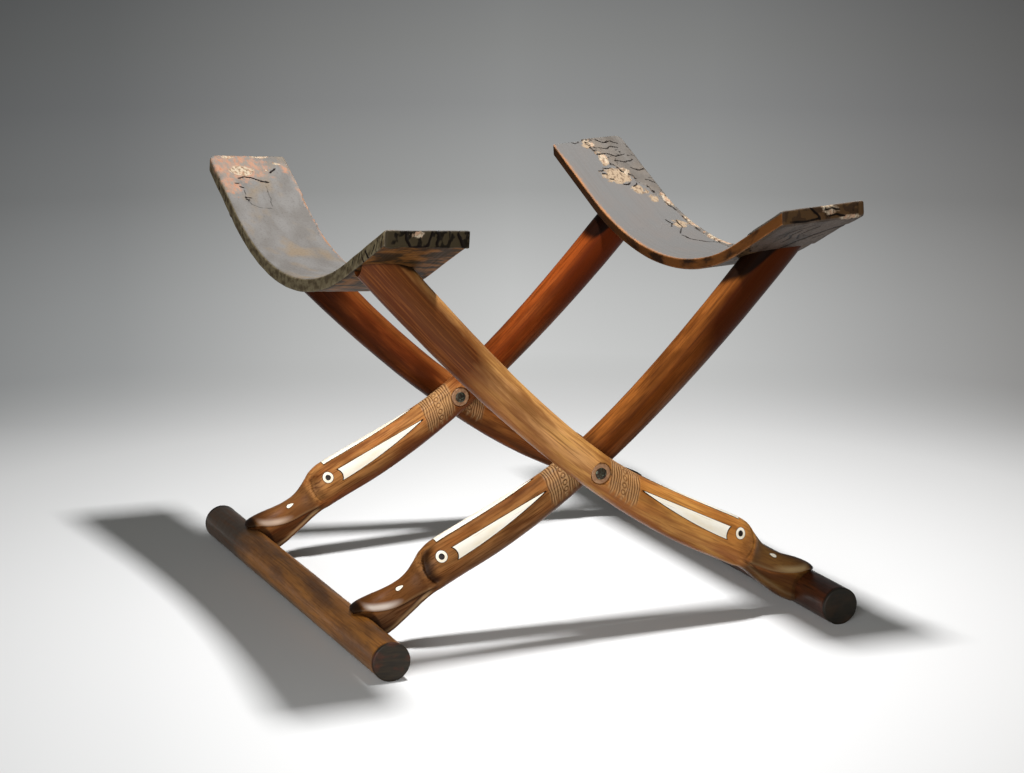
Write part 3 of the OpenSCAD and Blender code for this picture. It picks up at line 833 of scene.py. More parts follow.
def vector_maths(tree, operation, *values):
    """What a sum on vectors or sockets gives: a value for a length or a dot product, or else a vector."""
    outputs = add(tree, "VectorMath", dict(enumerate(values)), operation=operation).outputs
    return outputs["Value" if operation in ("LENGTH", "DOT_PRODUCT") else "Vector"]


def ranged(tree, value, start, full, least=0.0, most=1.0):
    """Runs from least, where a value is at its start, to most, where it is full."""
    links = {"Value": value, "From Min": start, "From Max": full, "To Min": least, "To Max": most}
    return add(tree, "MapRange", links).outputs[0]


def mixed(tree, share, colour, tone, blend="MIX"):
    """A colour with a share of another tone in it."""
    links = {0: share, 6: colour, 7: tone}
    return add(tree, "Mix", links, data_type="RGBA", blend_type=blend).outputs[2]


def empty_tree(owner):
    """Node tree of a material or a world, without nodes yet."""
    owner.use_nodes = True
    owner.node_tree.nodes.clear()
    return owner.node_tree


def new_material(name, *keys):
    """A material without nodes yet, its tree, and sockets for the mesh's fields of the given names."""
    material = bpy.data.materials.new(name)
    tree = empty_tree(material)
    fields = [add(tree, "Attribute", attribute_name=key) for key in keys]
    sockets = [field.outputs["Vector" if key == "grain" else "Fac"] for key, field in zip(keys, fields)]
    return material, tree, *sockets


def streaks(tree, place, along, across, detail=3.0, seed=0.0):
    """Noise drawn out along the grain, from the length and width of one streak in millimetres."""
    rate = (1000 / along, 1000 / across, 1000 / across)
    shifted = vector_maths(tree, "ADD", place, (seed, seed, seed))
    drawn = vector_maths(tree, "MULTIPLY", shifted, rate)
    return add(tree, "TexNoise", {"Vector": drawn, "Scale": 1.0, "Detail": detail}).outputs["Fac"]


def stained(tree, colour, layers):
    """A colour under layers, each a value, where it starts to show and is full, its most, and its colour."""
    colour = hex_colour(colour)
    for value, start, full, most, tone in layers:
        share = ranged(tree, value, start, full, most=most)
        colour = mixed(tree, share, colour, hex_colour(tone) if isinstance(tone, str) else tone)
    return colour


def roughened(tree, value, amount, texture):
    """A field with a ragged edge."""
    return maths(tree, "MULTIPLY_ADD", texture, amount, value)


def finish(tree, texture, rough, strength, depth, **links):
    """Ends a material: its roughness runs over a range and its relief is cut, both by a texture."""
    roughness = ranged(tree, texture, 0.3, 0.7, *rough)
    relief = add(tree, "Bump", {"Strength": strength, "Distance": depth * MM, "Height": texture})
    links = {key.replace("_", " "): value for key, value in links.items()}
    links.update(Roughness=roughness, Normal=relief.outputs[0])
    shader = add(tree, "BsdfPrincipled", links)
    add(tree, "OutputMaterial", {"Surface": shader.outputs[0]})


# Acacia, carved with a knife and rubbed with oil for a lifetime: a dense red-brown wood with long dark
# pores, a satin sheen on what hands touched, pale rubbed ridges and black dirt in the cuts. Painted into its
# colour are highlights along the lips, a lighter upper edge and a darker lower one, and shade under the
# boards, along the cheeks, under the lower lips and where the bills meet the rails
def acacia(name, tones, sheen):
    keys = ("grain", "shaft", "under_seat", "rise", "worn", "bill", "nail", "dirt", "gleam", "shade")
    material, tree, place, high, upper, rise, worn, bill, nail, dirt, gleam, shade = new_material(name, *keys)
    neck, shaft, top, crest, low, dark, gold, bill_tone, gleam_tone = tones
    figure = streaks(tree, place, 60, 9, 3.0)
    fibre = streaks(tree, place, 40, 1.3, 4.0, 0.37)
    thread = streaks(tree, place, 30, 2.6, 3.0, 0.23)
    pores = streaks(tree, place, 18, 0.6, 1.0, 0.71)
    patch = streaks(tree, place, 60, 15, 4.0, 0.53)
    edge = roughened(tree, rise, 0.5, patch)
    upper_edge = stained(tree, neck, [(high, 0.0, 1.0, 1.0, crest)])
    colour = stained(tree, neck, [
        (high, 0.0, 1.0, 1.0, shaft),
        # The lower edge darker and the upper edge lighter, by the rise across the piece: painted shade and
        # painted light
        (edge, 0.10, -0.40, 0.85, low),
        (edge, 0.65, 1.00, 0.85, upper_edge),
        (figure, 0.44, 0.66, 0.6, gold),
        (patch, 0.48, 0.64, 0.6, dark),
        (thread, 0.50, 0.66, 0.4, dark),
        # Painted shade at a leg's top under its board; on a foot rail, its far end darker
        (roughened(tree, upper, 0.7, patch), 0.30, 0.95, 0.95, top),
        (fibre, 0.50, 0.66, 0.6, dark),
        (pores, 0.64, 0.70, 0.3, "#2e1506"),
        # Pale edges: painted highlights along the lips, and rubbed wear on the ridges between the rings
        (worn, 0.0, 1.0, 0.5, "#d0ae80"),
        (bill, 0.0, 1.0, 0.75, bill_tone),
        (gleam, 0.1, 0.9, 0.65, gleam_tone),
        (nail, 0.0, 1.0, 0.9, "#160d08"),
        # Black dirt in the cuts, and painted shade along the cheek, under the lower lip and where the bill
        # meets the rail
        (dirt, 0.0, 1.0, 0.88, "#1a0b04"),
        (shade, 0.0, 1.0, 0.96, "#0a0402"),
    ])
    finish(tree, fibre, (0.30, 0.44), 0.3, 0.2, Base_Color=colour, Specular_IOR_Level=sheen)
    return material


# Elephant ivory, sawn thin, let into the wood and polished: warm white with fine brown lengthwise cracks
def ivory():
    material, tree, place = new_material("elephant_ivory", "grain")
    cracks = streaks(tree, place, 40, 0.9, 2.0, 0.21)
    tint = streaks(tree, place, 30, 8, 2.0, 0.43)
    layers = [(tint, 0.35, 0.7, 1.0, "#f3e6cc"), (cracks, 0.68, 0.74, 0.35, "#8a6f50")]
    colour = stained(tree, "#fbf5e8", layers)
    finish(tree, cracks, (0.30, 0.38), 0.2, 0.1, Base_Color=colour, IOR=1.54)
    return material


# Ebony, turned and polished: nearly black, with a brown grain that shows only in the light
def ebony(name, tone, brown, red, roughness):
    material, tree, place = new_material(name, "grain")
    grain = streaks(tree, place, 12, 1.6, 3.0, 0.11)
    patch = streaks(tree, place, 14, 9, 2.0, 0.61)
    colour = stained(tree, tone, [(grain, 0.4, 0.75, 1.0, brown), (patch, 0.52, 0.7, 0.6, red)])
    finish(tree, grain, (roughness, roughness + 0.08), 0.4, 0.2, Base_Color=colour, Specular_IOR_Level=0.25)
    return material


# Bronze, hammered and long buried: brown metal under a skin of old oil, with green-grey corrosion
def bronze(name, tone, light, green_share, metal):
    material, tree = new_material(name)
    place = add(tree, "TexCoord").outputs["Object"]
    mottle = streaks(tree, place, 2.5, 2.5, 3.0, 0.19)
    crust = streaks(tree, place, 1.4, 1.4, 3.0, 0.83)
    layers = [(mottle, 0.35, 0.65, 1.0, light), (crust, 0.55, 0.65, green_share, "#5d6a58")]
    colour = stained(tree, tone, layers)
    finish(tree, mottle, (0.34, 0.5), 0.4, 0.15, Base_Color=colour, Metallic=metal)
    return material


# Acacia board that lay under hide: grey and smooth where it is bare, dark at its sides, orange where
# its edges are rubbed
def seat_board(name, top, cloud, side, side_dark, under, under_dark):
    keys = ("grain", "side", "far_side", "under", "arris", "pale", "crack")
    material, tree, place, at_side, far_side, below, arris, pale, crack = new_material(name, *keys)
    fibre = streaks(tree, place, 60, 1.6, 3.0, 0.29)
    patch = streaks(tree, place, 34, 15, 3.0, 0.67)
    blotch = streaks(tree, place, 26, 9, 3.0, 0.47)
    smear = streaks(tree, place, 10, 20, 5.0, 0.77)
    ridges = streaks(tree, place, 2.2, 16, 3.0, 0.17)
    chips = streaks(tree, place, 4, 2.5, 5.0, 0.91)
    sides = stained(tree, side, [(blotch, 0.44, 0.62, 1.0, side_dark), (far_side, 0.0, 1.0, 0.7, side_dark)])
    low = stained(tree, under, [(smear, 0.42, 0.56, 1.0, under_dark), (ridges, 0.5, 0.62, 0.6, "#1c120a")])
    flaked = stained(tree, "#a48e74", [(chips, 0.50, 0.62, 0.9, "#6a5440")])
    colour = stained(tree, top, [
        (patch, 0.42, 0.62, 1.0, cloud),
        (fibre, 0.52, 0.72, 0.2, "#5f564e"),
        (at_side, 0.0, 1.0, 1.0, sides),
        (below, 0.0, 1.0, 1.0, low),
        (roughened(tree, arris, 0.8, chips), 0.55, 1.2, 0.8, "#b0784a"),
        (roughened(tree, pale, 1.3, chips), 0.65, 0.85, 0.85, flaked),
        (crack, 0.75, 0.2, 1.0, "#120b07"),
    ])
    finish(tree, fibre, (0.42, 0.58), 0.3, 0.3, Base_Color=colour, Specular_IOR_Level=0.05)
    return material


# Rawhide, stretched on wet and dried hard for ages: a dull grey-brown skin, black in its cracks, with
# cream where its face has flaked off and pink-orange where it is rubbed thin
def rawhide(name, face, brown, tan, side, end, end_dark, low):
    keys = ("grain", "side", "end", "low", "rust", "pale", "crack")
    material, tree, place, at_side, at_end, below, rust, pale, crack = new_material(name, *keys)
    grain = streaks(tree, place, 2.0, 2.0, 4.0, 0.13)
    cloud = streaks(tree, place, 30, 14, 4.0, 0.59)
    stain = streaks(tree, place, 40, 26, 4.0, 0.35)
    mottle = streaks(tree, place, 9, 5, 4.0, 0.83)
    blocks = streaks(tree, place, 7, 9, 2.0, 0.49)
    chips = streaks(tree, place, 4, 2.5, 5.0, 0.91)
    thin = [(mottle, 0.40, 0.60, 1.0, "#857a70"), (chips, 0.56, 0.66, 0.7, "#a86c4c")]
    bared = [(chips, 0.46, 0.60, 0.9, "#75604c"), (mottle, 0.5, 0.62, 0.6, "#b08468")]
    rubbed = stained(tree, "#a87e66", thin)
    flaked = stained(tree, "#b4a48e", bared)
    colour = stained(tree, face, [
        (cloud, 0.40, 0.64, 1.0, brown),
        (stain, 0.50, 0.66, 0.8, tan),
        (at_side, 0.0, 1.0, 1.0, stained(tree, side, [(mottle, 0.42, 0.60, 0.7, "#3a2a18")])),
        (at_end, 0.0, 1.0, 1.0, stained(tree, end, [(blocks, 0.50, 0.54, 0.9, end_dark)])),
        (below, 0.0, 1.0, 1.0, stained(tree, low, [(cloud, 0.44, 0.60, 0.8, "#332820")])),
        (grain, 0.52, 0.78, 0.3, "#3a332c"),
        (roughened(tree, rust, 1.0, chips), 0.35, 0.90, 0.85, rubbed),
        (roughened(tree, pale, 1.3, chips), 0.65, 0.85, 0.95, flaked),
        (crack, 0.75, 0.2, 1.0, "#100a07"),
    ])
    finish(tree, grain, (0.42, 0.62), 0.4, 0.3, Base_Color=colour, Specular_IOR_Level=0.05)
    return material


# Looks of each leg: how deep the hollow along its cheek is carved and how dark the painted shade in it is,
# how satiny its wood is, and the tones of its neck and head, of the shaft over the rivet, of the painted
# shade at its top under the board, of the painted light on its upper edge and the painted shade on its lower
# one, of dark and golden patches, and of the bill and the light on it
LEG_LOOKS = {
    ("outer", "front"): (0.3, 0.15, (
        "#ba7a3a", "#d49c62", "#4e2208", "#c48e50", "#86502a", "#7c4820", "#d09a50", "#4c3820", "#a89068")),
    ("outer", "back"): (0.6, 0.05, (
        "#ac6a34", "#602a10", "#2c1004", "#84491f", "#2a1406", "#4a200a", "#8e4a20", "#6e4c30", "#b48c64")),
    ("inner", "front"): (1.0, 0.05, (
        "#946438", "#60300e", "#381404", "#985a26", "#745034", "#401e06", "#7a421a", "#583418", "#e0d4c8")),
    ("inner", "back"): (0.7, 0.05, (
        "#b47c46", "#702e0c", "#541f08", "#98481a", "#4e2a12", "#502006", "#9c5426", "#5c3a20", "#d0b8a4")),
}
# The same tones for the foot rails, which have no bill. On a rail, the top's tone darkens its far end, the
# crest's tone lies on its upper side as painted light, and the shaft's and low tones on its lower side as
# painted shade
NO_BILL = ("#000000", "#000000")
RAIL_TONES = {
    "outer": ("#4a2412", "#3a2410", "#1c0e06", "#1c0e06", "#2a180a", "#1c0e06", "#6a3a1a", *NO_BILL),
    "inner": ("#a86c2c", "#7c7250", "#46382a", "#b86e2c", "#5a4e34", "#6c401c", "#bc7c34", *NO_BILL),
}
RAIL_SHEEN = 0.3
ivory_material = ivory()
pupil_material = ebony("ebony_pupil", "#15100d", "#2b1d15", "#2b1d15", 0.35)
rivet_material = bronze("bronze_rivet", "#241a12", "#3c3224", 0.9, 0.6)
washer_material = bronze("bronze_washer", "#8c6244", "#a87e5a", 0.15, 0.15)


def make_legs():
    for kind, flip in FRAMES:
        leg_y = outer_y if kind == "outer" else inner_y
        for end, side in ENDS:
            body = kind + "_frame"
            name = f"{kind}_{end}"
            ring_side = side * flip
            seed = len(bpy.data.objects)
            y = side * leg_y
            cheek_deep, sheen, tones = LEG_LOOKS[kind, end]
            wood = acacia(f"acacia_{kind}_leg_{end}", tones, sheen)
            leg = carved_leg(y, flip, ring_side, cheek_deep, seed)
            carved = joined([leg] + filler_lines(y, flip))
            mesh_object(f"carved_leg_{name}", carved, wood, body, "leg_wood", f"{kind}_leg_{end}")
            ring, plug = eye_patch(pupil_d / 2, eye_d / 2), eye_patch(0.1, pupil_d / 2 - 0.1)
            stripes = neck_stripes(0, INLAY_PROUD, y, flip)
            rings = both_sides(ring, INLAY_PROUD, inlay_sunk, y, flip, True)
            pupils = both_sides(plug, PUPIL_PROUD, inlay_sunk, y, flip, True)
            nostrils = both_sides(nostril_patch(0), NOSTRIL_PROUD, nostril_sunk, y, flip, True)
            for inlay, shells, material, slot, node in (
                (f"neck_stripes_{name}", stripes, ivory_material, "ivory", "stripes"),
                (f"eye_rings_{name}_turned", rings, ivory_material, "ivory", "eye_rings"),
                (f"eye_plugs_{name}", pupils, pupil_material, "ebony", "pupils"),
                (f"nostril_plugs_{name}", nostrils, ivory_material, "ivory", "nostrils"),
            ):
                mesh_object(inlay, joined(shells), material, body, slot, f"{kind}_{node}_{end}")


make_legs()


# Foot rails and their end discs
DISC_TONES = {"outer": ("#13100a", "#201a10", "#2c1e12"), "inner": ("#1e1810", "#30271b", "#5a2a18")}
disc_play = 0.15
disc_round = 0.9
disc_dip = 0.35
rail_bevel = 0.4
# Where along a rail its dark far end starts: the place and the width of the soft step
RAIL_DARK = (90, 90)


def foot_rail(kind, flip):
    """Foot rail that is worn hollow in places, with its underside flat on the floor, painted shade on its
    lower side, and its far end darker.
    """
    y = np.linspace(-rail_end + 0.5, rail_end - 0.5, 210)
    y = np.concatenate([[-rail_end], y, [rail_end]])
    along, around = np.meshgrid(y, round_angles(96), indexing="ij")
    place = np.stack([along, 20 * np.cos(around), 20 * np.sin(around)], -1)
    hollows = pits(place * [0.25, 1, 1], 0.16, 30, 11 + flip) + pits(place, 0.07, 9, 12 + flip)
    radius = rail_r - np.clip(hollows, 0, 0.6)
    radius = radius - rail_bevel * (np.abs(along) > rail_end - 0.3)
    x, z = radius * np.cos(around), np.maximum(rail_z + radius * np.sin(around), 0.0)
    points = np.stack([flip * (foot_x + x), along, z], -1)
    # The lower side gets the shaft's tone and some darkening: painted shade
    low = falling(np.sin(around), -0.2, 0.8)
    edge = 0.7 * rising(np.abs(along), rail_end - 1.5, 1.2)
    fields = {key: 0 * along for key in PLAIN}
    fields.update(
        grain=np.stack([along, x + 90 * flip, z], -1) * MM,
        dirt=np.clip(0.35 * low + edge, 0, 1),
        shaft=low,
        under_seat=rising(along, *RAIL_DARK),
        rise=np.sin(around),
    )
    wood = acacia(f"acacia_{kind}_foot_rail", RAIL_TONES[kind], RAIL_SHEEN)
    built = tube(points, **fields)
    mesh_object(f"turned_foot_rail_{kind}", built, wood, kind + "_frame", "rail_wood", f"{kind}_foot_rail")


def turned(profile, count):
    """Radius, turn and point of a piece turned from (radius, distance along its axis) pairs, as grids."""
    turn = round_angles(count)
    radius, along = (np.array(profile, float)[:, k, None] + 0 * turn for k in (0, 1))
    return radius, turn, np.stack([radius * np.cos(turn), radius * np.sin(turn), along], -1)


def foot_disc(kind, flip, end, side, material):
    """Disc on an end of a foot rail, with its arris worn round and its face dipping to the middle."""
    thick = disc_end - rail_end
    r = rail_r - disc_play
    back = [(0.5, disc_play), (r - 0.6, disc_play)]
    rim = [(r, disc_play), (r, thick * 0.4), (r, thick - disc_round)]
    arris_worn = [(r - 0.3, thick - 0.35), (r - disc_round, thick - 0.08)]
    shares = np.linspace(0.9, 0.03, 16)
    face = [(r * share, thick - 0.02 - disc_dip * (1 - share) ** 1.5) for share in shares]
    place = turned(back + rim + arris_worn + face, 96)[2]
    x, up, high = place[..., 0], place[..., 1], place[..., 2]
    dents = pits(place, 0.12, 7, 31 + flip + side) * ease((high - thick + 1) / 0.6)
    high = high - np.clip(dents, 0, 0.5)
    z = np.maximum(rail_z + up, 0.0)
    points = np.stack([flip * (foot_x + x), side * (rail_end + high), z], -1)
    built = tube(points, grain=np.stack([x + 60 * side, high + 30 * flip, z], -1) * MM)
    node = f"{kind}_foot_disc_{end}"
    mesh_object(f"end_disc_{kind}_{end}", built, material, kind + "_frame", "dark_wood", node)


for kind, flip in FRAMES:
    foot_rail(kind, flip)
    disc_material = ebony(f"ebony_{kind}_disc", *DISC_TONES[kind], 0.5)
    for end, side in ENDS:
        foot_disc(kind, flip, end, side, disc_material)


# Rivets and ring washers
def lathe(profile, side):
    """Hammered piece turned about the rivets' axis, from (radius, distance from the middle) pairs."""
    radius, turn, place = turned(profile, 64)
    radius = radius - pits(place, 0.06, 3.5, 17) * (radius > 0.2)
    return np.stack([radius * np.cos(turn), side * place[..., 2], pivot_h + radius * np.sin(turn)], -1)


def rivet_profile(low, high):
    head_r = pin_head_d / 2
    dome = [(head_r * math.sin(a), pin_head_h * math.cos(a)) for a in np.radians(np.linspace(4, 90, 9))]
    low_head = [(r, low - h) for r, h in dome]
    high_head = [(r, high + h) for r, h in reversed(dome)]
    return low_head + [(shank_r, low + 0.3), (shank_r, high - 0.3)] + high_head


def washer_profile(face, out):
    """Flat ring with its outer edge rounded, whose face looks out along the axis."""
    outer_r, hole_r = washer_d / 2, washer_hole_r
    back = face - out * washer_t
    rim = [(outer_r, back), (outer_r, face - out * 0.5), (outer_r - 0.25, face - out * 0.15)]
    flat = [(outer_r - washer_round, face), (hole_r + 0.8, face - out * 0.1), (hole_r, face - out * 0.3)]
    return [(hole_r, back)] + rim + flat


def make_rivets():
    outside, inside = outer_y + half_t, inner_y - half_t
    low = inside + washer_sink - washer_t
    high = outside - washer_sink + washer_t
    for end, side in ENDS:
        rivet = tube(lathe(rivet_profile(low, high), side))
        mesh_object(f"bronze_rivet_{end}", rivet, rivet_material, "outer_frame", "bronze", f"rivet_{end}")
        for place, face, out in (("outside", high, 1), ("inside", low, -1)):
            # The profile is closed, so the last row of faces leads back to the first ring
            rings = lathe(washer_profile(face, out), side)
            rows, count = rings.shape[:2]
            faces = sheet_faces(rows + 1, count, True) % (rows * count)
            washer = part(rings.reshape(-1, 3), faces)
            node = f"washer_{end}_{place}"
            mesh_object(f"bronze_{node}", washer, washer_material, "outer_frame", "bronze", node)


make_rivets()


# Seat boards and the hide on them, as boxes of (across, along, depth) with rounded arrises
arris = 1.6
board_step = 1.2
hide_step = 1.0
box_low = np.array([-seat_w / 2, -seat_len / 2, 0.0])
box_high = np.array([seat_w / 2, seat_len / 2, seat_t])


def steps_between(low, high, step):
    """Places from low to high, closer together on the arris at each end."""
    rim = arris * np.array([0.0, 0.35, 0.7])
    flat = np.linspace(low + arris, high - arris, max(2, round((high - low - 2 * arris) / step) + 1))
    return np.concatenate([low + rim, flat, high - rim[::-1]])


def box_sheet(sides, step):
    """Points and faces of some sides of the box, each given by the axis it is square to and which end."""
    places = [steps_between(box_low[k], box_high[k], step) for k in range(3)]
    points, faces, start = [], [], 0
    for axis, end in sides:
        first, second = [k for k in range(3) if k != axis]
        a, b = np.meshgrid(places[first], places[second], indexing="ij")
        grid = np.empty(a.shape + (3,))
        grid[..., first], grid[..., second] = a, b
        grid[..., axis] = box_high[axis] if end else box_low[axis]
        quads = sheet_faces(*a.shape) + start
        points.append(grid.reshape(-1, 3))
        faces.append(quads if (end == 1) == (axis != 1) else quads[:, ::-1])
        start += a.size
    points, faces = np.concatenate(points), np.concatenate(faces)
    found = np.unique(np.round(points, 4), axis=0, return_index=True, return_inverse=True)
    return points[found[1]], found[2].reshape(-1)[faces]


def round_off(points):
    """Points of the box brought onto its rounded arrises, with their outward normals."""
    core = np.clip(points, box_low + arris, box_high - arris)
    normals = points - core
    normals /= np.linalg.norm(normals, axis=1, keepdims=True)
    return core + arris * normals, normals


# Sides of the box, each as the axis it is square to and which end of it
TOP, UNDER, OUTER_SIDE, INNER_SIDE, FRONT, BACK = (2, 0), (2, 1), (0, 0), (0, 1), (1, 0), (1, 1)

# Radius that the end corners are worn to: front or back end (-1 or 1), outer or inner side (-1 or 1)
CORNERS = {(-1, -1): 2.5, (-1, 1): 3.0, (1, -1): 6.0, (1, 1): 2.0}


def wear_corners(surface):
    """Rounds the seat rail's four corners, seen from above."""
    surface = surface.copy()
    for (end, side), radius in CORNERS.items():
        centre = np.array([side * (seat_w / 2 - radius), end * (seat_len / 2 - radius)])
        offset = surface[:, :2] - centre
        outside = (offset[:, 0] * side > 0) & (offset[:, 1] * end > 0)
        longest = np.abs(offset).max(axis=1)
        share = np.where(outside, longest / np.maximum(np.linalg.norm(offset, axis=1), 1e-6), 1)
        surface[:, :2] = centre + offset * share[:, None]
    return surface


# Share of each board's width that is bare beside its inner edge, from the front end to the back end. Where
# it is below 0, the hide is whole
BARE = {
    "outer": [-0.1, -0.1, 0.02, 0.05, 0.03, 0.06, 0.04, 0.08, 0.05, 0.03, 0.06, 0.02, 0.04, -0.1, -0.1],
    "inner": [-0.1, -0.1, 0.05, 0.24, 0.4, 0.62, 0.82, 0.9, 0.94, 0.93, 0.95, 0.9, 0.75, 0.5, 0.43],
}

# Faces of a seat rail's box: the axis that each is square to, and its place on it
CRACKED_FACES = {
    "top": (2, 0),
    "underside": (2, 10),
    "outer side": (0, -35),
    "front end": (1, -230),
    "back end": (1, 230),
}
# Cracks of a face as a width, then places on it: two of across, along and down into the seat rail. A
# width below 0 gives a faint crease that never opens
CRACKS = {
    "outer": {
        "top": [
            (0.9, [(-18, 195), (-12.8, 196.2), (-4.5, 194.7), (1.3, 190.8), (8, 188.7)]),
            (1.6, [(2, 190.4), (8, 188.7)]),
            (1.1, [(14.7, 203.3), (17.5, 206.5), (20.7, 210)]),
            (0.6, [(-23.7, 187), (-19.7, 187.2)]),
            (0.7, [(-20.1, 181.7), (-17.6, 179.5)]),
            (0.7, [(-19.8, 165.8), (-15.3, 164.7)]),
            (0.6, [(-20, 162.4), (-17.7, 161.3)]),
            (-0.2, [(-17.6, 176.6), (-19.6, 163.8), (-17.3, 154), (-9, 149.9), (0, 148.7)]),
            (-0.2, [(4.2, 182.8), (3.4, 168.5), (0.9, 151.5)]),
            (0.4, [(-30, -226), (-22, -215), (-12, -212)]),
            (0.5, [(8, -230), (4, -214), (10, -203), (9, -192)]),
            (0.4, [(4, -214), (-8, -207)]),
            (0.5, [(26, -230), (21, -219), (23, -208)]),
        ],
        "outer side": [
            (0.8, [(-151.5, 8.2), (-154.8, 2.2)]),
            (0.8, [(-163, 5), (-166.3, 0.5)]),
            (0.9, [(-175.6, 6.7), (-178.9, 2)]),
            (1.0, [(-188, 9.5), (-184, 4), (-182.6, 0.2)]),
            (1.0, [(-198, 9.6), (-193.2, 5.6), (-191, 3)]),
            (0.9, [(-205.4, 8.7), (-210.6, 4.6)]),
            (0.9, [(-214, 9.4), (-217, 3)]),
            (0.9, [(-224.2, 9.4), (-227.7, 3)]),
            (0.7, [(196, 1), (193, 6), (195, 9)]),
            (0.6, [(172, 2), (174, 7)]),
            (0.6, [(120, 3), (116, 8)]),
        ],
        "front end": [
            (1.3, [(-18.5, 1.5), (-17.5, 6), (-14.5, 10.5)]),
            (0.9, [(-14.5, 10.2), (-8, 9.4), (-4, 10.6), (1, 8), (3.5, 1)]),
            (0.7, [(7.5, 1), (8.5, 5), (7, 8)]),
            (0.5, [(17, 0.5), (17.5, 7)]),
            (1.5, [(24.5, 2), (26.5, 6), (29.5, 11)]),
        ],
        "back end": [
            (0.7, [(-12, 2), (-10, 7), (-13, 11)]),
            (0.7, [(12, 1), (9, 6), (11, 11)]),
        ],
    },
    "inner": {
        "top": [
            (0.8, [(10, 181), (7, 180), (5, 181.5)]),
            (0.8, [(4, 184), (0, 182), (-3, 183)]),
            (0.8, [(8, 176), (4.5, 174.5)]),
            (0.8, [(5, 167), (2, 166)]),
            (0.7, [(-4, 156), (-9, 155), (-11, 157.5)]),
            (0.7, [(-12, 152), (-16, 153), (-17.5, 156)]),
            (0.5, [(-22.4, 86), (-21, 70)]),
            (0.5, [(-21, 70), (-15, 61), (-11.3, 55)]),
            (0.6, [(-11.3, 50), (-12.9, 36), (-19.8, 24), (-29, 14)]),
            (0.6, [(-14, 90), (-16, 80), (-12, 74)]),
            (0.5, [(18, 231), (14, 226), (8, 228)]),
            (0.5, [(-8, 226), (-14, 221), (-22, 222), (-27, 217)]),
            (0.5, [(-6, 214), (-13, 210), (-17, 214), (-24, 211)]),
            (0.5, [(0, 205), (-9, 203), (-16, 198), (-25, 199)]),
            (0.5, [(-12, 192), (-20, 188), (-30, 190)]),
            (0.5, [(-22, 178), (-27, 172), (-33, 174)]),
            (0.5, [(-27, 158), (-33, 152)]),
        ],
        "underside": [
            (2.4, [(-1.6, -158), (-7.8, -173.7), (-16.4, -188), (-25, -202), (-37.5, -209)]),
            (1.0, [(8, -176), (5, -186), (10, -196), (6, -210)]),
            (0.8, [(18, -182), (14, -194), (17, -206)]),
            (1.0, [(-4, -182), (1, -194), (-2, -205), (-8, -214)]),
            (1.0, [(22, -200), (12, -212), (0, -220)]),
            (0.8, [(-20, -178), (-26, -186)]),
        ],
        "front end": [
            (0.9, [(9, 0.5), (4, 5), (1, 9)]),
            (0.5, [(28, 8.5), (15, 9.5), (3, 8.5)]),
            (0.5, [(-4, 3), (-11, 2), (-16, 4)]),
            (0.5, [(-6, 8), (-14, 7), (-20, 9)]),
        ],
    },
}

# Worn and flaked places as a centre across, along and down, half the size each way, and how strong it is
RUBBED = {
    "outer": [(-13, 213, 0, 19, 17, 4, 1.1), (-27, 186, 0, 7, 16, 4, 0.8), (35, 165, 0, 4, 60, 4, 0.55),
              (30, 212, 0, 6, 14, 4, 0.4)],
    "inner": [(-20, 141, 0, 4, 4, 4, 0.8), (35, 60, 0, 2.5, 90, 3, 0.3)],
}
FLAKED = {
    "outer": [(-12, 206, 0, 6.5, 4.5, 4, 1.4), (-8, -230, 3, 7, 3, 3, 0.36), (-19.8, 227, 0, 6, 2, 3, 0.8),
              (10.6, 228, 0, 8, 2, 3, 0.8), (12, 207, 0, 2, 2, 3, 0.5), (25, 217, 0, 7, 3, 3, 0.3),
              (8, -230, 12, 20, 2, 1.2, 0.7)],
    "inner": [(-4, 171, 0, 11, 10, 4, 0.95), (2, 222, 0, 6, 6, 4, 0.8), (-2, 196, 0, 4, 10, 4, 0.8),
              (-20, 141, 0, 4, 4, 4, 0.4), (-22, 77, 0, 7, 10, 4, 0.6), (-33, 123, 0, 4, 11, 4, 0.9),
              (-34, 74, 0, 4, 14, 4, 0.7), (-33, 20, 0, 4, 28, 4, 0.7), (-22, 130, 0, 6, 12, 4, 0.35),
              (-14, 146, 0, 8, 8, 4, 0.5), (-7, -230, 3, 8, 3, 5, 0.5), (-24, -229, 11, 9, 4, 3, 0.6)],
}

# How far from a crack the surface starts to dip into it
crack_soft = 0.6
# Distance from a crack past which nothing depends on it
crack_far = 3.0


def marks(kind, points):
    """Distance from the nearest crack's edge, and how flaked and rubbed, at points of the box."""
    wander = np.stack([lumps(points, 7, 70 + k) for k in range(3)], -1) * [1, 1, 0.2]
    crack = np.full(len(points), crack_far)
    for face, cracks in CRACKS[kind].items():
        for width, places in cracks:
            line = np.insert(np.array(places, float), *CRACKED_FACES[face], axis=1)
            crack = np.minimum(crack, from_line(points + 0.5 * wander, line) - width / 2)
    spots = {"crack": crack}
    for key, table in (("pale", FLAKED), ("rust", RUBBED)):
        spots[key] = np.full(len(points), -1.0)
        for x, y, z, half_x, half_y, half_z, strength in table[kind]:
            reach = np.sqrt((((points - [x, y, z]) / [half_x, half_y, half_z]) ** 2).sum(1))
            ragged = reach + 0.25 * lumps(points, 8, 75)
            spots[key] = np.maximum(spots[key], 0.35 + strength - ragged)
    return spots


# Where along a board its rubbed arris gets stronger and its side darker: place and width of the soft step
RUB_FROM = (-60, 160)
DARK_FROM = (-40, 150)


def facing(normal):
    """How squarely a surface faces along an axis, from that component of its normal."""
    return rising(normal, 0.5, 0.4)


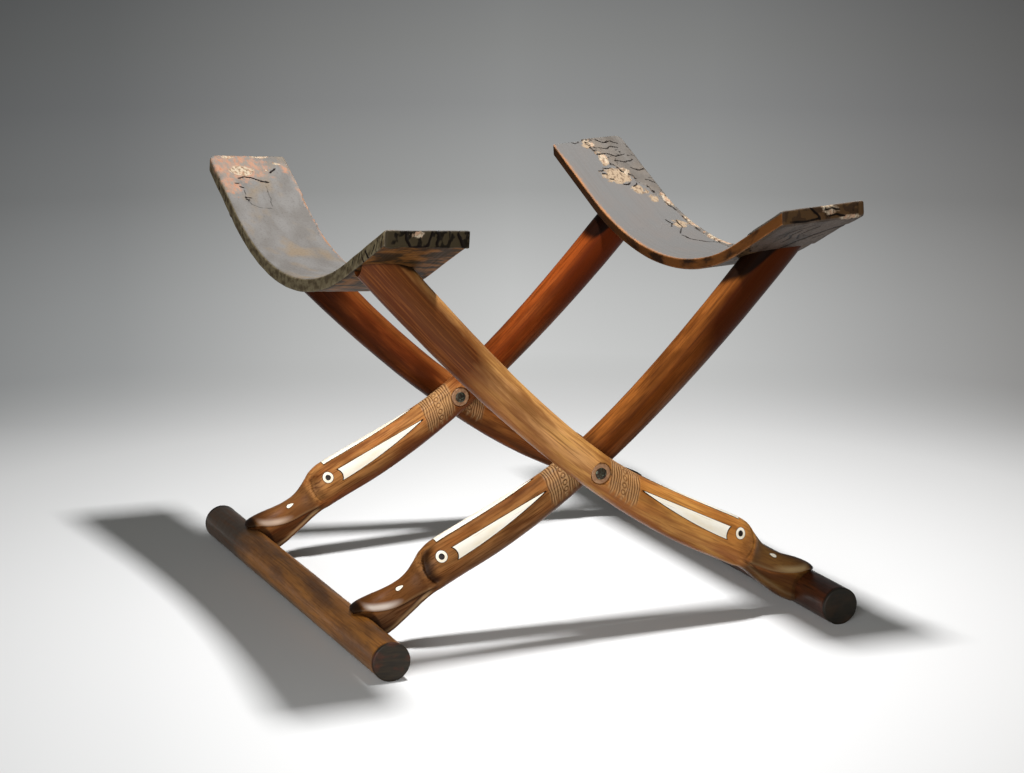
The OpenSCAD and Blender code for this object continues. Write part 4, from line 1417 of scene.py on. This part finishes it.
def make_board(kind, flip, material):
    points, faces = box_sheet([TOP, UNDER, OUTER_SIDE, INNER_SIDE, FRONT, BACK], board_step)
    across, along, depth = points.T
    surface, normals = round_off(points)
    stretched = points * [1, 0.3, 1]
    dents = pits(stretched, 0.12, 22, 41 + flip) + pits(stretched, 0.04, 6, 42 + flip)
    spot = marks(kind, points)
    dents = dents + 0.3 * falling(spot["crack"], crack_soft, crack_soft)
    surface = wear_corners(surface - normals * np.clip(dents, 0, 0.6)[:, None])
    near_arris = bump(across - seat_w / 2, 2.6) * falling(depth, 2.5, 2.5)
    low_arris = bump(across - seat_w / 2, 2.0) * rising(depth, 7.5, 2)
    strong = 0.45 + 0.55 * rising(along, *RUB_FROM)
    worn = np.clip(near_arris * strong + 0.5 * low_arris, 0, 1) * (0.75 + 0.25 * lumps(points, 30, 43 + flip))
    side = facing(np.abs(normals[:, 0]))
    built = part(
        from_seat(surface, flip), faces,
        grain=points[:, [1, 0, 2]] * MM + 0.3 * flip,
        arris=np.clip(worn, 0, 1),
        crack=spot["crack"],
        pale=spot["pale"],
        side=side,
        far_side=side * rising(along, *DARK_FROM),
        under=facing(normals[:, 2]),
    )
    mesh_object(f"dished_board_{kind}", built, material, kind + "_frame", "seat_wood", f"{kind}_seat_rail")


# Islands of hide between fine cracks are longer along the board than across it
ISLANDS = np.array([1, 0.6, 1])
ISLAND_COUNT = 620
# How deep the hide's back lies in the board
hide_sunk = 0.9
# How far the inner hide's front outer corner bulges out past its board, and where across and along it
# starts: place and width of the soft step, from the middle of the board
lobe_out = 5.0
LOBE_ACROSS = (12, 20)
LOBE_ALONG = (196, 26)


def crazing(points, seed, count):
    """Distance from the edge of fine, broken cracks between small islands of hide."""
    random = np.random.default_rng(seed)
    seeds = random.uniform(box_low, box_high, (count, 3))
    seeds[:, 2] = np.where(random.uniform(size=count) < 0.8, 0.0, seeds[:, 2])
    bent = points + 1.6 * np.stack([lumps(points, 6, seed + k) for k in range(3)], -1)
    healed = 1.6 * falling(lumps(points, 13, seed + 5), 0.35, 0.6)
    return cell_borders(bent * ISLANDS, seeds * ISLANDS) + healed


def hide_sheet(sides, fold_y):
    """Points and faces of a hide's box; past fold_y from the middle, a folded hide also lies under it."""
    points, faces = box_sheet([TOP, FRONT, BACK] + sides, hide_step)
    if not fold_y:
        return points, faces
    corner = points[faces].mean(axis=1)
    faces = faces[(corner[:, 2] < seat_t - 0.01) | (np.abs(corner[:, 1]) > fold_y)]
    used, name = np.unique(faces, return_inverse=True)
    return points[used], name.reshape(faces.shape)


def hang_ends(points, surface, normals):
    """Lets a hide's ends hang straight down, a little below the board."""
    along, depth = points[:, 1], points[:, 2]
    low = (np.abs(along) > seat_len / 2 - 0.01) * rising(depth, 5, 5)
    hem = seat_t + hide_drop * (0.7 + 0.3 * lumps(points, 12, 58))
    surface[:, 1] += (np.sign(along) * seat_len / 2 - surface[:, 1]) * low
    surface[:, 2] += (hem - surface[:, 2]) * low ** 3
    outward = np.stack([0 * along, np.sign(along), 0 * along], -1)
    return surface, np.where(low[:, None] > 0.5, outward, normals)


def torn_hide(kind, flip, points, spot):
    """How thick a hide is at each point, below 0 where it is torn away, and the distance from its cracks."""
    across, along = points[:, 0], points[:, 1]
    margins = BARE[kind]
    bare = np.interp(along, np.linspace(-seat_len / 2, seat_len / 2, len(margins)), margins) * seat_w
    ragged = 1.6 * lumps(points, 16, 51 + flip) + lumps(points, 5, 52 + flip)
    ragged = ragged * ease((seat_w - bare) / 12)
    from_torn = seat_w / 2 - bare + ragged * (bare > 0) - across
    crack = spot["crack"]
    if kind == "inner":
        crack = np.minimum(crack, crazing(points, 60, ISLAND_COUNT) + 0.2)
        broken = 1.2 * falling(lumps(points, 9, 77), 0.1, 0.5) + 9.0 * (bare <= 0)
        crack = np.minimum(crack, np.abs(from_torn - 0.4) - 0.05 + broken)
    swell = 0.5 + 0.5 * lumps(points * ISLANDS, 14, 55 + flip)
    thick = hide_t * (0.75 + 0.25 * np.clip(swell, 0, 1))
    thick = thick - 0.5 * falling(crack, crack_soft, crack_soft) - 0.35 * ease(spot["pale"] / 0.3)
    present = ease(from_torn + 0.5)
    return np.minimum(thick * present - 0.5 * (1 - present), hide_t), crack


def make_hide(kind, flip, material, sides, fold_y):
    points, faces = hide_sheet(sides, fold_y)
    surface, normals = round_off(points)
    if not fold_y:
        surface, normals = hang_ends(points, surface, normals)
    spot = marks(kind, points)
    thick, crack = torn_hide(kind, flip, points, spot)
    outside = surface + normals * thick[:, None]
    inside = surface - normals * hide_sunk
    if kind == "inner":
        lobe = lobe_out * rising(-points[:, 0], *LOBE_ACROSS) * rising(-points[:, 1], *LOBE_ALONG)
        outside[:, 0] -= lobe
        inside[:, 0] -= lobe
    built = thicken(
        from_seat(wear_corners(outside), flip), from_seat(wear_corners(inside), flip), faces,
        grain=points[:, [1, 0, 2]] * MM + 0.1 * flip,
        crack=np.clip(crack, -1, crack_far),
        pale=spot["pale"],
        rust=spot["rust"],
        side=facing(np.abs(normals[:, 0])),
        end=facing(np.abs(normals[:, 1])),
        low=facing(normals[:, 2]),
    )
    mesh_object(f"dried_hide_{kind}", built, material, kind + "_frame", "hide", f"{kind}_seat_hide")


# Tones of each board's top and the clouds on it, of its sides and their dark places, and of its underside
BOARD_TONES = {
    "outer": ("#7c7672", "#6d635c", "#5a4632", "#2a1c10", "#7a5028", "#2e2214"),
    "inner": ("#6c6a68", "#6e6a67", "#70441e", "#2a180a", "#5c4630", "#2c2218"),
}
# Tones of each hide's face, and of the clouds and tan stains on it, of its side, its ends and their dark
# blocks, and its fold under the board
HIDE_TONES = {
    "outer": ("#777471", "#6c6864", "#80705c", "#7c7056", "#383022", "#0c0805", "#000000"),
    "inner": ("#6c6762", "#5e5852", "#746a60", "#5c5348", "#4a3622", "#35261a", "#50433a"),
}
# The outer hide hangs over one side; the inner one is folded under as far as the legs
fold_gap = 1.2
HIDE_SIDES = {"outer": ([OUTER_SIDE], None), "inner": ([UNDER], inner_y + half_t + fold_gap)}
for kind, flip in FRAMES:
    sides, fold_y = HIDE_SIDES[kind]
    make_board(kind, flip, seat_board(f"acacia_{kind}_board", *BOARD_TONES[kind]))
    make_hide(kind, flip, rawhide(f"rawhide_{kind}", *HIDE_TONES[kind]), sides, fold_y)


# Floor, light and background
# Matt studio paper under the object. Further off, only the camera and glossy rays see how the studio's
# light fades: by the distance from the object, and to both sides of the place behind it. Close by, the
# camera sees a share of the same fading to both sides
VIEW_FOOT = (CAMERA_PLACE[0] * MM, CAMERA_PLACE[1] * MM, 0.0)
AHEAD = (math.sin(math.radians(CAMERA_YAW)), math.cos(math.radians(CAMERA_YAW)), 0.0)
ASIDE = (AHEAD[1], -AHEAD[0], 0.0)
PAPER_SEEN = "#f7f7f7"
PAPER_BOUNCE = "#a8a8a6"
floor_r = 10000.0
FADE_STOPS = (
    (0.0, "#f2f2f2"), (0.04, "#ececec"), (0.06, "#dededf"), (0.086, "#cfd0cf"), (0.14, "#c3c4c3"),
    (0.24, "#a1a2a1"), (0.37, "#8f9090"), (0.52, "#868786"), (0.73, "#7b7c7c"), (1.0, "#737474"),
)
SIDE_STOPS = (
    (0.0, "#a8a9aa"), (0.135, "#bdbebf"), (0.3, "#e4e4e4"), (0.5, "#ffffff"), (0.68, "#f2f2f2"),
    (0.86, "#cdcccc"), (1.0, "#b2b0af"),
)
SIDE_REACH = 0.2
SIDE_SHARE = 0.35
# In metres: where the fading takes over from the lamps' light, from the object, and where the fading to
# both sides starts and is full, from the camera
GLOW_START, GLOW_FULL = 0.62, 1.0
SIDES_START, SIDES_FULL = 2.3, 2.95


def seen_directly(tree):
    """1 for what the camera, a glossy surface or glass sees, 0 for light on its way to something matt."""
    path = add(tree, "LightPath")
    seen = maths(tree, "MAXIMUM", path.outputs["Is Camera Ray"], path.outputs["Is Glossy Ray"])
    return maths(tree, "MAXIMUM", seen, path.outputs["Is Transmission Ray"])


def paper_colours(tree, place, away):
    """Colours of the paper far from the object and close to it, as the camera sees them."""
    share = ranged(tree, away, 0.0, floor_r * MM)
    fade = add(tree, "ValToRGB", {"Fac": share}, stops=FADE_STOPS).outputs[0]
    offset = vector_maths(tree, "SUBTRACT", place, VIEW_FOOT)
    ahead, aside = (vector_maths(tree, "DOT_PRODUCT", offset, heading) for heading in (AHEAD, ASIDE))
    across = ranged(tree, maths(tree, "DIVIDE", aside, ahead), -SIDE_REACH, SIDE_REACH)
    side = add(tree, "ValToRGB", {"Fac": across}, stops=SIDE_STOPS).outputs[0]
    behind = ranged(tree, ahead, SIDES_START, SIDES_FULL)
    far_paper = mixed(tree, behind, fade, side, "MULTIPLY")
    return far_paper, mixed(tree, SIDE_SHARE, hex_colour(PAPER_SEEN), side, "MULTIPLY")


def make_floor():
    mesh = bpy.data.meshes.new("paper_floor")
    points = [(floor_r * MM * math.cos(a), floor_r * MM * math.sin(a), 0.0) for a in round_angles(64)]
    mesh.from_pydata(points, [], [list(range(len(points)))])
    material, tree = new_material("studio_paper")
    place = add(tree, "TexCoord").outputs["Object"]
    away = vector_maths(tree, "LENGTH", place)
    far_paper, near_paper = paper_colours(tree, place, away)
    seen = seen_directly(tree)
    paper = stained(tree, PAPER_BOUNCE, [(seen, 0.0, 1.0, 1.0, near_paper)])
    lit = add(tree, "BsdfDiffuse", {"Color": paper})
    glow = add(tree, "Emission", {"Color": far_paper, "Strength": 1.0})
    far = ranged(tree, away, GLOW_START, GLOW_FULL, most=seen)
    both = add(tree, "MixShader", {0: far, 1: lit.outputs[0], 2: glow.outputs[0]})
    add(tree, "OutputMaterial", {"Surface": both.outputs[0]})
    mesh.materials.append(material)
    floor = new_object("paper_floor", mesh)


# Lamps: name, place and the point that each one faces in millimetres, width and length in metres, and watts
LAMPS = (
    ("key_lamp", (65, -90, 1250), (65, -90, 0), 0.10, 0.16, 18.0),
    ("front_softbox", (-1080, -1870, 440), (0, 0, 120), 1.2, 0.6, 33.0),
)
FILL = "#3c3d38"
FAR_WALL = "#767777"


def make_light():
    for name, place, target, width, length, watts in LAMPS:
        data = bpy.data.lights.new(name, "AREA")
        data.shape = "RECTANGLE"
        data.size, data.size_y = width, length
        data.energy = watts
        lamp = new_object(name, data)
        lamp.location = [c * MM for c in place]
        lamp.rotation_mode = "QUATERNION"
        lamp.rotation_quaternion = (Vector(target) - Vector(place)).to_track_quat("-Z", "Y")
    world = bpy.data.worlds.new("studio")
    tree = empty_tree(world)
    colour = stained(tree, FILL, [(seen_directly(tree), 0.0, 1.0, 1.0, FAR_WALL)])
    light = add(tree, "Background", {"Color": colour, "Strength": 1.0})
    add(tree, "OutputWorld", {"Surface": light.outputs[0]})
    bpy.context.scene.world = world


make_floor()
make_light()
bpy.context.scene.view_settings.view_transform = "Standard"
